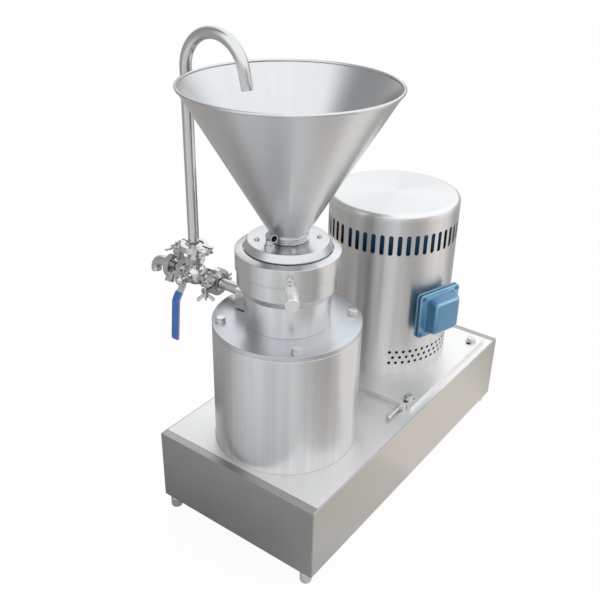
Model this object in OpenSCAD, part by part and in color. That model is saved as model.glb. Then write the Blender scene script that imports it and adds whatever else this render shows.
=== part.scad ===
// Vertical colloid mill with a belt-driven spindle, a feed hopper and a return pipe.
// Millimetres, +Z up, +X from the mill to the motor, +Y to the outlet valve.

/* [Base] */
// Length of the base box
base_l = 894; // [820:1:980]
// Width of the base box
base_w = 440; // [420:1:500]
// Height of the base box, from its lower edge to the deck
base_h = 184; // [170:1:230]
// Thickness of the deck plate
deck_t = 10; // [8:0.5:16]
// Thickness of the panel sheet
sheet_t = 3; // [2:0.5:5]
// Width of the end panels' fold over the deck
lip_w = 20; // [14:1:28]
// Width of the side panels' fold under the box
under_lip_w = 46; // [42:1:60]
// Height of a foot
foot_h = 32; // [25:1:60]
// Diameter of a foot
foot_d = 27; // [20:1:30]
// Distance from a foot's axis to the box's end faces
foot_inset_x = 14; // [14:1:30]
// Distance from a foot's axis to the box's side faces
foot_inset_y = 24; // [16:1:28]

/* [Pedestal] */
// Distance from the mill end of the base to the mill axis
mill_inset = 194; // [185:1:210]
// Diameter of the pedestal
ped_d = 330; // [310:1:350]
// Wall of the pedestal shell
ped_wall = 4; // [3:0.5:6]
// Height of the pedestal shell
ped_h = 292; // [285:1:330]
// Thickness of the flange on the pedestal
flange_t = 12; // [10:1:16]
// Distance from the flange's edge to its bolts
bolt_edge = 19; // [17:1:24]
// Diameter of the machine bolts
bolt_d = 12; // [10:1:13]

/* [Mill head] */
// Diameter of the mill housing
neck_d = 189; // [182:1:200]
// Height of the mill housing up to the ring
neck_h = 73; // [70:1:80]
// Diameter of the adjusting ring below its scale line
ring_low_d = 219; // [212:1:222]
// Diameter of the adjusting ring above its scale line
ring_up_d = 225; // [223:1:232]
// Height of the adjusting ring below its scale line
ring_low_h = 34.5; // [32:0.5:38]
// Height of the adjusting ring above its scale line
ring_up_h = 41.5; // [39:0.5:48]
// Diameter of the feed cover
disc_d = 188; // [184:1:190]
// Height of the feed cover's raised disc
disc_h = 16.6; // [14:0.1:20]
// Diameter of the ring handle
handle_d = 28; // [20:1:30]
// Reach of the ring handle from the mill axis
handle_reach = 178; // [160:1:200]
// Direction of the ring handle, in degrees from +X
handle_a = -140; // [-160:1:-120]

/* [Grinding set] */
// Gap between rotor and stator, across the teeth
mill_gap = 0.4; // [0.3:0.05:0.8]
// Inner radius of the stator at its top
stator_top_r = 48; // [46:0.5:50]
// Length of the stator's grinding face
stator_h = 80; // [74:1:82]
// Wall of the stator at its lower edge
stator_wall = 5; // [5:0.5:8]
// Teeth in the coarse upper stage
coarse_teeth = 18; // [12:1:24]
// Teeth in the fine lower stage
fine_teeth = 36; // [24:1:42]
// Slant of the teeth, in degrees
tooth_slant = 18; // [10:1:25]

/* [Hopper] */
// Diameter of the hopper's mouth
hopper_d = 432; // [400:1:460]
// Height of the hopper's cone
hopper_h = 301; // [290:1:330]
// Wall of the hopper
hopper_wall = 2; // [1.5:0.25:3]
// Diameter of the rolled rim
rim_bead_d = 7; // [6:0.5:9]
// Diameter of the threaded neck under the cone
spigot_d = 80; // [76:1:84]
// Height of the threaded neck above the feed cover
spigot_h = 15; // [13:1:20]

/* [Outlet and return] */
// Outer diameter of the product tube
tube_d = 25.4; // [24:0.1:28]
// Wall of the product tube
tube_wall = 1.5; // [1.2:0.1:2]
// Diameter of a clamp ferrule
ferrule_d = 50.5; // [48:0.5:54]
// Height of the outlet above the pedestal's flange
outlet_rise = 23; // [21:1:28]
// Distance from the mill axis to the valve's centre
valve_y = 271.5; // [265:0.5:290]
// Distance from the valve's centre to each clamped joint
valve_reach = 69; // [66:1:76]
// Width of the outlet box
outlet_w = 80; // [72:1:88]
// Height of the outlet box
outlet_h = 46; // [42:1:46]
// Distance from the mill axis to the face of the outlet box
outlet_face = 116; // [112:1:122]
// Distance from the mill axis to the end of the return pipe
return_y = 105; // [95:1:115]
// Height of the return pipe's straight leg above its clamp
return_h = 401; // [395:1:450]
// Length of the return pipe's straight end
return_tail = 17; // [14:1:22]
// Bend radius of the spout
spout_bend_r = 25; // [23:1:32]
// Length of the spout's straight end
spout_tail = 6; // [6:1:14]

/* [Lever] */
// Length of the valve lever below the stem
lever_l = 144; // [125:1:165]
// Width of the valve lever
lever_w = 19; // [16:1:22]
// Sideways step of the valve lever
lever_step = 23; // [18:1:26]
// Outward lean of the valve lever's grip
lever_lean = 10; // [0:1:14]

/* [Motor] */
// Distance from the motor end of the base to the motor axis
motor_inset = 230; // [222:1:240]
// Sideways offset of the motor axis
motor_y = 18; // [10:1:24]
// Diameter of the motor cover
cover_d = 331; // [326:1:345]
// Height of the motor cover's top above the deck
cover_top = 456; // [450:1:490]
// Wall of the motor cover
cover_wall = 2; // [1.5:0.25:3]
// Radius of the motor cover's top edge
cover_round = 12; // [6:1:18]
// Number of ventilation slots in the motor cover
slot_n = 48; // [36:1:52]
// Width of a ventilation slot
slot_w = 8; // [6:0.5:9]
// Height of a ventilation slot
slot_h = 52; // [40:1:60]
// Thickness of the motor plate
plate_t = 12; // [10:1:14]
// Distance from the motor axis to the plate's front edge
plate_front = 227; // [220:1:232]
// Distance from the motor axis to the plate's rear edge
plate_rear = 188; // [184:1:200]
// Distance from the plate's sides to the base's sides
plate_margin = 20; // [16:1:24]
// Take-up travel of the motor plate
take_up = 12; // [8:1:14]
// Direction of the terminal box, in degrees from +X
term_a = -107; // [-115:1:-100]
// Width of the terminal box's flange
term_w = 132; // [124:1:140]
// Height of the terminal box's flange
term_h = 119; // [112:1:126]
// Distance from the motor axis to the terminal box's face
term_face = 224; // [216:1:232]

/* [Belt drive] */
// Outer diameter of the motor pulley
drive_d = 140; // [124:1:156]
// Outer diameter of the spindle pulley
driven_d = 120; // [112:1:140]
// Number of belts
belt_n = 3; // [1:1:3]

/* [Hidden] */
$fn = 72;

// Clearances: a fixed fit, a running fit, and faces that move past each other
fit_gap = 0.05;
run_gap = 0.05;
clear_gap = 0.3;
gasket_t = 2;

// Places of the main axes, from the middle of the base
deck_z = foot_h + base_h;
mill_x = mill_inset - base_l / 2;
motor_x = base_l / 2 - motor_inset;
rim_r = hopper_d / 2 + rim_bead_d / 2;
spout_run = 35;
spout_y = valve_y + valve_reach + gasket_t / 2 + spout_run + spout_bend_r;

// The origin is on the floor under the middle of the whole machine
low_x = min(-base_l / 2, mill_x - rim_r);
high_x = base_l / 2;
low_y = -base_w / 2;
high_y = spout_y + tube_d / 2;
origin_x = (low_x + high_x) / 2;
origin_y = (low_y + high_y) / 2;

// Pedestal and mill head, as heights above the deck
ped_r = ped_d / 2;
ped_ring_w = 31;
ped_top = ped_h + flange_t;
outlet_z = ped_top + outlet_rise;
flange_bolt_r = ped_r - bolt_edge;
flange_bolt_n = 4;
neck_r = neck_d / 2;
collar_w = 2.5;
collar_t = 5;
collar_top = ped_top + neck_h;
barrel_r = neck_r - 8.5;
barrel_h = 48;
chamber_r = barrel_r - 8;
floor_t = 12;
ring_foot_z = collar_top + clear_gap;
ring_foot_h = 18;
ring_line_z = ring_foot_z + ring_foot_h + ring_low_h;
ring_edge_z = ring_line_z + ring_up_h;
ring_bevel_h = 4.5;
disc_r = disc_d / 2;
ring_mouth_r = disc_r + 1.5;
thread_r = barrel_r + 4;
disc_z = ring_edge_z + ring_bevel_h + 1.5;
disc_top = disc_z + disc_h;
disc_bevel_w = 8;
funnel_lip = 3;
carrier_wall = 30;
throat_r = spigot_d / 2 - 4;
stator_top = collar_top + barrel_h + 7;
stator_foot = stator_top - stator_h;
stator_r = chamber_r - 2 * fit_gap;
stator_foot_r = stator_r - stator_wall;
cone_a = atan((stator_foot_r - stator_top_r) / stator_h);
cover_screw_r = (stator_r + stator_top_r) / 2 + 3;
handle_seat_r = ring_low_d / 2 - 8;
lock_r = 4;
lock_tip_r = thread_r + 3;
lock_z = ring_line_z + 23;

// Spindle, bearings and pulleys
spindle_r = 25;
spindle_nose_r = 20;
spindle_thread_r = 12;
bearing_r = 55;
bearing_w = 27;
ball_r = 9.5;
ball_pitch_r = 40;
ball_n = 8;
race_gap = 5;
bearing_body_r = 70;
bearing_body_foot = 40;
low_bearing_z = bearing_body_foot + 10;
top_bearing_z = ped_h - 47;
cap_t = 10;
seal_r = 40;
rotor_seat_z = ped_top + floor_t + 4;
rotor_foot_z = stator_foot - 6;
rotor_top_z = stator_top + 4;
pulley_w = 52;
pulley_z = -deck_t - 49 - pulley_w;
groove_pitch = 15;
groove_half_w = 6.5;
groove_depth = 11;
groove_a = 19;
belt_top = 0.5;
belt_h = 8;
belt_side_gap = 0.35;
shaft_end_z = pulley_z - 7;
drive_r = drive_d / 2;
driven_r = driven_d / 2;
belt_dx = motor_x - mill_x;
belt_c = norm([belt_dx, motor_y]);
belt_a = atan2(motor_y, belt_dx);
belt_tangent_a = acos((driven_r - drive_r) / belt_c);
belt_run = sqrt(belt_c * belt_c - (drive_r - driven_r) * (drive_r - driven_r));

// Tubes, ferrules and clamps
tube_r = tube_d / 2;
bore_r = tube_r - tube_wall;
ferrule_r = ferrule_d / 2;
ferrule_rim = 2.85;
ferrule_a = 20;
ferrule_root_r = tube_r + 3;
ferrule_taper = (ferrule_r - ferrule_root_r) * tan(ferrule_a);
ferrule_l = 21.5;
clamp_gap = 0.4;
clamp_w = 15;
clamp_wall = 6;
clamp_r = ferrule_r + clamp_gap + clamp_wall;
clamp_lip_r = ferrule_r - 3.5;
clamp_split_a = 5;
clamp_pin_r = 2.5;
clamp_hinge_x = clamp_r + 5;
clamp_bolt_x = clamp_r + 10.5;
clamp_bolt_r = 3;
clamp_lug_t = 9;
clamp_lug_y = 3;
wing_r = 21;
wing_h = 22;
// Clamped joints as [turn of the port, direction of the clamp bolt, side of its nut, turn of its nut]
outlet_joint = [[90, 0, 0], 180, 0, 50];
spout_joint = [[-90, 0, 0], -60, 1, 45];
return_joint = [[0, 0, 0], -90, 1, 70];
joints = [outlet_joint, spout_joint, return_joint];

// Valve
valve_r = 27;
valve_ball_r = 19;
valve_port_r = 17;
valve_hex_r = 24;
valve_hex_z = 30;
valve_hex_l = 15;
stem_r = 6;
stem_seat = 4;
stem_boss_r = 13;
stem_boss_l = 32;
gland_l = 7;
gland_r = 12;
lever_t = 3;
lever_x = stem_boss_l + gland_l + 4;
lever_nut_l = 8;
lever_nut_r = 12;
stem_l = lever_x + lever_t + lever_nut_l;
lever_bend_top = 14;
lever_bend_low = 44;
sleeve_wall = 1.75;
sleeve_start = 0.45;

// Motor
shaft_r = 19;
plate_y = base_w / 2 - plate_margin;
plate_bolt_y = plate_y - 23;
plate_bolt_front = plate_front - 31;
plate_bolt_rear = plate_rear - 36;
plate_slot_l = take_up + bolt_d + 8;
register_r = 40;
frame_r = 118;
frame_wall = 8;
frame_in_r = frame_r - frame_wall;
fin_h = 14;
fin_r = frame_r + fin_h;
fin_t = 3;
fin_end = 12;
fin_n = 24;
fin_free_a = 30;
motor_foot = plate_t;
shield_t = 14;
shield_spigot = 14;
frame_foot = motor_foot + shield_t;
motor_head_room = 156;
frame_top = cover_top - motor_head_room;
motor_bearing_r = 38;
motor_bearing_w = 18;
core_r = 68;
core_l = 150;
core_z = (frame_foot + frame_top - core_l) / 2;
air_gap = 0.6;
cowl_wall = 2.5;
cowl_edge = 7;
cowl_r = frame_r + cowl_edge;
cowl_head_room = 34;
cowl_top = cover_top - cowl_head_room;
cowl_bevel = 10;
fan_room = 8;
fan_z = frame_top + shield_t + fan_room;
fan_gap = 20;
fan_r = cowl_r - fan_gap;
fan_t = 3;
fan_h = 36;
fan_hub_r = 30;
blade_n = 7;
cover_r = cover_d / 2;
slot_seam_a = 9.5;
slot_first_a = 171.75;
slot_z = cover_top - 105;
slot_pitch_a = (360 - slot_seam_a) / (slot_n - 1);
hole_d = 6;
hole_pitch_a = 6.25;
hole_cols = 13;
hole_rows = 3;
hole_row_h = 15.8;
hole_z = 46;
term_z = 195;
term_neck_w = term_w - 42;
term_neck_h = term_h - 27;
term_wall = 5;
term_flange_t = 6;
term_gasket_t = 3;
term_seat = cover_r + 16.5;
term_dome_w = 92;
term_dome_h = 98;
term_dome_draft = 6;
term_dome_round = 8;
term_screw_r = 2.5;
term_head_r = 5;
term_cut_gap = 3;

// Take-up screw
screw_r = 4;
screw_y = -plate_bolt_y + 2;
screw_z = 8;
screw_l = 60;
screw_head_r = 6.5;
screw_head_l = 8;
lug_t = 8;
lug_gap = 4;
lug_w = 26;
lug_h = 20;
nut_t = 6.5;
nut_r = 7.5;

steel = "silver";
bright = "gainsboro";
dark = "dimgray";
blue = "steelblue";
black = "#303030";

// Places
module in_frame() translate([-origin_x, -origin_y, 0]) children();
module on_deck() in_frame() translate([0, 0, deck_z]) children();
module at_mill() on_deck() translate([mill_x, 0, 0]) children();
module at_motor() on_deck() translate([motor_x, motor_y, 0]) children();
module at_valve() at_mill() translate([0, valve_y, outlet_z]) children();
module at_joint(j) at_valve() rotate(j[0]) translate([0, 0, valve_reach]) rotate(j[1])
    mirror([0, j[2], 0]) children();
module around(n, start = 0) for (i = [0 : n - 1]) rotate(start + i * 360 / n) children();
module both_ways(v) {
    children();
    mirror(v) children();
}

// Basic forms
module turned(points) rotate_extrude() polygon(points);
module rod(r, z0, z1) translate([0, 0, z0]) cylinder(r = r, h = z1 - z0);
module ring(r_in, r_out, z0, z1) translate([0, 0, z0]) difference() {
    cylinder(r = r_out, h = z1 - z0);
    translate([0, 0, -1]) cylinder(r = r_in, h = z1 - z0 + 2);
}
module hex_rod(r, z0, z1) translate([0, 0, z0]) cylinder(r = r, h = z1 - z0, $fn = 6);
module slab(x0, x1, y0, y1, z0, z1) translate([x0, y0, z0]) cube([x1 - x0, y1 - y0, z1 - z0]);
module along_x() rotate([0, 90, 0]) children();
module slot_2d(l, w) {
    square([l - w, w], center = true);
    for (s = [-1, 1]) translate([s * (l - w) / 2, 0]) circle(d = w);
}

// Hex bolt with its washer, its seat at z = 0 and its shank down to -l
module hex_bolt(l, washer_r, washer_t) {
    ring(bolt_d / 2 + clear_gap, washer_r, 0, washer_t);
    hex_rod(bolt_d * 0.92, washer_t, washer_t + bolt_d * 0.62);
    rod(bolt_d / 2, -l, washer_t);
}

// Base
module base_deck() color(steel) in_frame() difference() {
    slab(-base_l / 2 + lip_w, base_l / 2 - lip_w, -base_w / 2 + sheet_t, base_w / 2 - sheet_t,
        deck_z - deck_t, deck_z);
    translate([mill_x, 0, 0]) rod(spindle_r + 10, deck_z - deck_t - 1, deck_z + 1);
    translate([motor_x + take_up / 2, motor_y, 0]) rod(shaft_r + take_up + 8, deck_z - deck_t - 1, deck_z + 1);
    translate([motor_x, 0, 0]) plate_bolt_places() rod(bolt_d / 2 + fit_gap, deck_z - deck_t - 1, deck_z + 1);
}

module plate_bolt_places() for (x = [-plate_bolt_front, plate_bolt_rear], s = [-1, 1])
    translate([x, s * plate_bolt_y, 0]) children();

module base_side_panels() color(steel) in_frame() both_ways([0, 1, 0]) {
    slab(-base_l / 2 + sheet_t, base_l / 2 - sheet_t, -base_w / 2, -base_w / 2 + sheet_t, foot_h, deck_z);
    slab(-base_l / 2 + sheet_t, base_l / 2 - sheet_t, -base_w / 2, -base_w / 2 + under_lip_w,
        foot_h, foot_h + sheet_t);
}

module base_end_panels() color(steel) in_frame() both_ways([1, 0, 0]) {
    slab(-base_l / 2, -base_l / 2 + sheet_t, -base_w / 2, base_w / 2, foot_h, deck_z);
    slab(-base_l / 2, -base_l / 2 + lip_w, -base_w / 2 + sheet_t, base_w / 2 - sheet_t,
        deck_z - sheet_t, deck_z);
}

module feet() color(steel) in_frame() for (x = [-1, 1], y = [-1, 1])
    translate([x * (base_l / 2 - foot_inset_x), y * (base_w / 2 - foot_inset_y), 0]) foot();

module foot() {
    foot_round = 7;
    rod(foot_d / 2, foot_round, foot_h);
    rod(foot_d / 2 - foot_round, 0, foot_round);
    translate([0, 0, foot_round]) rotate_extrude() intersection() {
        translate([foot_d / 2 - foot_round, 0]) circle(r = foot_round);
        translate([foot_d / 2 - foot_round, -foot_round]) square(foot_round);
    }
}

// Pedestal
module pedestal_shell() color(steel) at_mill() difference() {
    turned([[ped_r - ped_wall, 0], [ped_r, 0], [ped_r, ped_h], [ped_r - ped_ring_w, ped_h],
        [ped_r - ped_ring_w, ped_h - flange_t], [ped_r - ped_wall, ped_h - flange_t]]);
    around(flange_bolt_n, 45) translate([flange_bolt_r, 0, 0])
        rod(bolt_d / 2 + fit_gap, ped_h - flange_t - 1, ped_h + 1);
}

module pedestal_flange() color(steel) at_mill() difference() {
    turned([[bearing_body_r + 10, ped_h], [ped_r, ped_h], [ped_r, ped_top - 1], [ped_r - 1, ped_top],
        [bearing_body_r + 10, ped_top]]);
    around(flange_bolt_n, 45) translate([flange_bolt_r, 0, 0])
        rod(bolt_d / 2 + clear_gap, ped_h - 1, ped_top + 1);
}

module hex_bolts() color(bright) {
    at_mill() around(flange_bolt_n, 45) translate([flange_bolt_r, 0, ped_top])
        hex_bolt(2 * flange_t, bolt_d, 2.5);
    on_deck() translate([motor_x, 0, plate_t]) plate_bolt_places() hex_bolt(plate_t + deck_t, bolt_d * 1.25, 3);
}

// Spindle bearings
module bearing_housing() color(dark) at_mill() turned([
    [bearing_r + fit_gap, bearing_body_foot], [bearing_body_r, bearing_body_foot],
    [bearing_body_r, ped_h - 12], [bearing_body_r + 40, ped_h - 12], [bearing_body_r + 40, ped_h],
    [bearing_body_r + 10 - fit_gap, ped_h], [bearing_body_r + 10 - fit_gap, ped_top],
    [bearing_r + fit_gap, ped_top], [bearing_r + fit_gap, top_bearing_z],
    [bearing_r - 7, top_bearing_z], [bearing_r - 7, low_bearing_z + bearing_w],
    [bearing_r + fit_gap, low_bearing_z + bearing_w]]);

module race_cut(z) translate([0, 0, z + bearing_w / 2])
    rotate_extrude() translate([ball_pitch_r, 0]) circle(r = ball_r + fit_gap);

module bearing_outer_rings() color(bright) at_mill() for (z = [low_bearing_z, top_bearing_z]) {
    difference() {
        ring(ball_pitch_r + race_gap, bearing_r, z, z + bearing_w);
        race_cut(z);
    }
    translate([0, 0, z + bearing_w / 2]) around(ball_n) translate([ball_pitch_r, 0, 0]) sphere(r = ball_r);
}

module bearing_inner_rings() color(bright) at_mill() for (z = [low_bearing_z, top_bearing_z])
    difference() {
        ring(spindle_r + fit_gap, ball_pitch_r - race_gap, z, z + bearing_w);
        race_cut(z);
    }

module bearing_cap() color(dark) at_mill() turned([
    [spindle_r + 3, bearing_body_foot - cap_t], [bearing_body_r, bearing_body_foot - cap_t],
    [bearing_body_r, bearing_body_foot], [bearing_r, bearing_body_foot], [bearing_r, low_bearing_z],
    [bearing_r - 7, low_bearing_z], [bearing_r - 7, bearing_body_foot],
    [spindle_r + 3, bearing_body_foot]]);

module shaft_seal() color(black) at_mill()
    ring(spindle_r + run_gap, seal_r, ped_top, ped_top + floor_t);

// Mill head
module mill_housing() color(steel) at_mill() difference() {
    turned([[seal_r + fit_gap, ped_top], [neck_r, ped_top], [neck_r, collar_top - collar_t],
        [neck_r + collar_w, collar_top - collar_t], [neck_r + collar_w, collar_top],
        [barrel_r, collar_top], [barrel_r, collar_top + barrel_h], [chamber_r, collar_top + barrel_h],
        [chamber_r, ped_top + floor_t], [seal_r + fit_gap, ped_top + floor_t]]);
    slab(-outlet_w / 2 + 10, outlet_w / 2 - 10, chamber_r / 2, neck_r + 5,
        ped_top + floor_t, outlet_z + outlet_h / 2 - 7);
}

module adjusting_ring() color(steel) at_mill() difference() {
    turned([[barrel_r + run_gap, ring_foot_z], [neck_r + collar_w + 1, ring_foot_z],
        [ring_low_d / 2, ring_foot_z + ring_foot_h], [ring_low_d / 2, ring_line_z],
        [ring_up_d / 2, ring_line_z], [ring_up_d / 2, ring_edge_z],
        [ring_mouth_r, ring_edge_z + ring_bevel_h], [ring_mouth_r, ring_edge_z - 2],
        [thread_r + clear_gap, ring_edge_z - 2], [thread_r + clear_gap, collar_top + barrel_h + 2],
        [barrel_r + run_gap, collar_top + barrel_h + 2]]);
    at_handle() rod(handle_d / 2 + fit_gap, handle_seat_r, ring_up_d);
    at_lock_screw() rod(lock_r + fit_gap, lock_tip_r, ring_up_d);
}

// The handle and the lock screw lie along +Z of these places, from the mill axis outwards
module at_handle() translate([0, 0, ring_line_z]) rotate(handle_a) along_x() children();
module at_lock_screw() translate([0, 0, lock_z]) rotate(handle_a - 1) along_x() children();

module ring_handle() color(bright) at_mill() at_handle() {
    rod(handle_d / 2, handle_seat_r, handle_reach - 1.5);
    translate([0, 0, handle_reach - 1.5]) cylinder(r1 = handle_d / 2, r2 = handle_d / 2 - 1.5, h = 1.5);
}

module lock_screw() color(bright) at_mill() at_lock_screw() difference() {
    union() {
        rod(lock_r, lock_tip_r, ring_up_d / 2 + 2);
        rod(7.5, ring_up_d / 2 + clear_gap, ring_up_d / 2 + 8);
    }
    hex_rod(3.5, ring_up_d / 2 + 4, ring_up_d / 2 + 9);
}

// Feed cover: a raised disc on the stator's threaded carrier, with a funnel through both
module feed_cover() color(steel) at_mill() {
    funnel_r = throat_r + fit_gap;
    carrier_r = thread_r - carrier_wall;
    cover_screw_holes() turned([[funnel_r, disc_z + funnel_lip], [funnel_r + funnel_lip, disc_z], [disc_r, disc_z],
        [disc_r, disc_z + 1.5], [disc_r - disc_bevel_w, disc_top], [funnel_r, disc_top]]);
    cover_screw_holes() turned([[funnel_r + funnel_lip, disc_z - fit_gap], [carrier_r, disc_z - 12],
        [carrier_r, stator_top], [thread_r, stator_top], [thread_r, disc_z - fit_gap]]);
}
module cover_screw_holes() difference() {
    children();
    around(flange_bolt_n, 45) translate([cover_screw_r, 0, 0]) rod(3 + fit_gap, stator_top - 1, disc_top + 1);
}

module cover_screws() color(bright) at_mill() around(flange_bolt_n, 45) translate([cover_screw_r, 0, 0]) {
    rod(3, stator_top - 12, disc_top + 1);
    difference() {
        rod(5.5, disc_top, disc_top + 3.5);
        hex_rod(2.6, disc_top + 1.5, disc_top + 4);
    }
}

module cooling_elbow() color(bright) at_mill() translate([-(disc_r - 31), 0, disc_top]) difference() {
    union() {
        hex_rod(11, 0, 9);
        rod(8, 0, 26);
        translate([0, 0, 26]) sphere(r = 9);
        translate([0, 0, 26]) rotate([90, 0, 0]) rod(9, 0, 22);
        translate([0, 0, 26]) rotate([90, 0, 0]) rod(11, 15, 22);
    }
    translate([0, 0, 26]) rotate([90, 0, 0]) rod(6, 14, 24, $fn = 4);
}

// Hopper: spigot, cone and rolled rim
module hopper() color(bright) at_mill() {
    cone_z = disc_top + spigot_h;
    mouth_r = hopper_d / 2;
    spigot_r = spigot_d / 2;
    bore = throat_r - 4;
    skin = hopper_wall * sqrt(1 + pow((mouth_r - spigot_r) / hopper_h, 2));
    turned([[bore, disc_z + 4], [throat_r, disc_z + 4], [throat_r, disc_top], [spigot_r, disc_top],
        [spigot_r, cone_z], [mouth_r, cone_z + hopper_h], [mouth_r - skin, cone_z + hopper_h],
        [spigot_r - skin, cone_z], [bore, cone_z - 8]]);
    translate([0, 0, cone_z + hopper_h]) rotate_extrude() translate([mouth_r, 0]) circle(d = rim_bead_d);
}

// Grinding set
module tooth_cuts(n, z0, z1, w, depth, slant, offset_r) {
    mid_z = (z0 + z1) / 2;
    mid_r = stator_top_r + (stator_top - mid_z) * tan(cone_a) + offset_r;
    around(n) translate([mid_r, 0, mid_z]) rotate([0, -cone_a, 0]) rotate([slant, 0, 0])
        cube([2 * depth, w, (z1 - z0) / cos(cone_a) / cos(slant)], center = true);
}

module grinding_teeth(offset_r) {
    split_z = (stator_foot + stator_top) / 2;
    tooth_cuts(coarse_teeth, split_z + 3, stator_top + 12, 6, 4.5, tooth_slant, offset_r);
    tooth_cuts(fine_teeth, stator_foot - 12, split_z - 3, 3, 2.5, -tooth_slant, offset_r);
}

module mill_rotor() color(bright) at_mill() {
    gap_r = mill_gap / cos(cone_a);
    foot_r = stator_top_r + (stator_top - rotor_foot_z) * tan(cone_a) - gap_r;
    top_r = stator_top_r + (stator_top - rotor_top_z) * tan(cone_a) - gap_r;
    difference() {
        turned([[spindle_nose_r + fit_gap, rotor_seat_z], [spindle_nose_r + 12, rotor_seat_z],
            [spindle_nose_r + 12, rotor_foot_z], [min(foot_r, chamber_r - 3), rotor_foot_z],
            [top_r, rotor_top_z], [spindle_nose_r + fit_gap, rotor_top_z]]);
        grinding_teeth(-gap_r);
    }
}

module mill_stator() color(bright) at_mill() difference() {
    turned([[stator_foot_r, stator_foot], [stator_r, stator_foot], [stator_r, stator_top],
        [stator_top_r, stator_top]]);
    grinding_teeth(0);
    around(flange_bolt_n, 45) translate([cover_screw_r, 0, 0]) rod(3 + fit_gap, stator_top - 13, stator_top + 1);
}

module spindle_shaft() color(bright) at_mill() turned([[0, shaft_end_z], [spindle_nose_r, shaft_end_z],
    [spindle_nose_r, pulley_z + pulley_w], [spindle_r, pulley_z + pulley_w], [spindle_r, low_bearing_z + bearing_w],
    [spindle_r + 5, low_bearing_z + bearing_w], [spindle_r + 5, top_bearing_z], [spindle_r, top_bearing_z],
    [spindle_r, rotor_seat_z], [spindle_nose_r, rotor_seat_z], [spindle_nose_r, rotor_top_z],
    [spindle_thread_r, rotor_top_z], [spindle_thread_r, rotor_top_z + 16], [0, rotor_top_z + 16]]);

module rotor_nut() color(bright) at_mill() difference() {
    union() {
        rod(spindle_nose_r + 4, rotor_top_z, rotor_top_z + 4);
        hex_rod(spindle_nose_r, rotor_top_z + 4, rotor_top_z + 16);
        translate([0, 0, rotor_top_z + 14]) sphere(r = 15);
    }
    rod(spindle_thread_r + fit_gap, rotor_top_z - 2, rotor_top_z + 16);
    rod(spindle_nose_r + 9, rotor_top_z - 5, rotor_top_z);
}

// Belt drive
function groove_z(i) = pulley_z + pulley_w / 2 + (i - (belt_n - 1) / 2) * groove_pitch;
function groove(r, z) = let (root_half_w = groove_half_w - groove_depth * tan(groove_a)) [
    [r, z - groove_half_w], [r - groove_depth, z - root_half_w],
    [r - groove_depth, z + root_half_w], [r, z + groove_half_w]];
module grooved_pulley(r, hub_r) turned(concat([[hub_r + fit_gap, pulley_z], [r, pulley_z]],
    [for (i = [0 : belt_n - 1], p = groove(r, groove_z(i))) p],
    [[r, pulley_z + pulley_w], [hub_r + fit_gap, pulley_z + pulley_w]]));

module drive_pulley() color(dark) at_motor() grooved_pulley(drive_r, shaft_r);
module driven_pulley() color(dark) at_mill() grooved_pulley(driven_r, spindle_nose_r);

function belt_half_w(depth) = groove_half_w - depth * tan(groove_a) - belt_side_gap;
module belt_section(r) polygon([[r - belt_top, -belt_half_w(belt_top)], [r - belt_top, belt_half_w(belt_top)],
    [r - belt_top - belt_h, belt_half_w(belt_top + belt_h)],
    [r - belt_top - belt_h, -belt_half_w(belt_top + belt_h)]]);

module v_belts() color(black) at_mill() rotate(belt_a) for (i = [0 : belt_n - 1])
    translate([0, 0, groove_z(i)]) {
        rotate(belt_tangent_a) rotate_extrude(angle = 360 - 2 * belt_tangent_a) belt_section(driven_r);
        translate([belt_c, 0, 0]) rotate(-belt_tangent_a) rotate_extrude(angle = 2 * belt_tangent_a)
            belt_section(drive_r);
        both_ways([0, 1, 0]) rotate(belt_tangent_a - 90) rotate([90, 0, 90])
            linear_extrude(belt_run) belt_section(driven_r);
    }

// Product tubes
module ferrule() turned([[bore_r, -ferrule_l], [tube_r, -ferrule_l],
    [tube_r, -ferrule_rim - ferrule_taper - 1.5], [ferrule_root_r, -ferrule_rim - ferrule_taper],
    [ferrule_r, -ferrule_rim], [ferrule_r, 0], [bore_r, 0]]);
module bend(bend_r, a, r) rotate_extrude(angle = a) translate([bend_r, 0]) circle(r = r);

module outlet_spool() color(bright) at_mill() translate([0, 0, outlet_z]) {
    end_y = valve_y - valve_reach - gasket_t / 2;
    difference() {
        slab(-outlet_w / 2, outlet_w / 2, chamber_r / 2, outlet_face, ped_top + 2 - outlet_z, outlet_h / 2 + 3);
        translate([0, 0, -outlet_h]) cylinder(r = neck_r + fit_gap, h = 2 * outlet_h);
        slab(-outlet_w / 2 + 5, outlet_w / 2 - 5, 0, outlet_face - 5, ped_top + 7 - outlet_z, outlet_h / 2 - 2);
        rotate([-90, 0, 0]) rod(bore_r, 0, outlet_face + 1);
    }
    rotate([-90, 0, 0]) {
        ring(bore_r, tube_r, outlet_face, end_y - ferrule_l);
        translate([0, 0, end_y]) ferrule();
    }
}

module spout_elbow() color(bright) at_valve() rotate(spout_joint[0])
    translate([0, 0, valve_reach + gasket_t / 2]) {
        mirror([0, 0, 1]) ferrule();
        ring(bore_r, tube_r, ferrule_l, spout_run);
        translate([0, spout_bend_r, spout_run]) rotate([90, 0, -90]) difference() {
            bend(spout_bend_r, 90, tube_r);
            bend(spout_bend_r, 90, bore_r);
        }
        translate([0, spout_bend_r, spout_run + spout_bend_r]) rotate([-90, 0, 0])
            ring(bore_r, tube_r, 0, spout_tail);
    }

module return_pipe() color(bright) at_valve() translate([0, 0, valve_reach + gasket_t / 2]) {
    bow_r = (valve_y - return_y) / 2;
    mirror([0, 0, 1]) ferrule();
    ring(bore_r, tube_r, ferrule_l, return_h);
    translate([0, -bow_r, return_h]) rotate([90, 0, 90]) difference() {
        bend(bow_r, 180, tube_r);
        bend(bow_r, 180, bore_r);
    }
    translate([0, -2 * bow_r, 0]) ring(bore_r, tube_r, return_h - return_tail, return_h);
}

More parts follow.
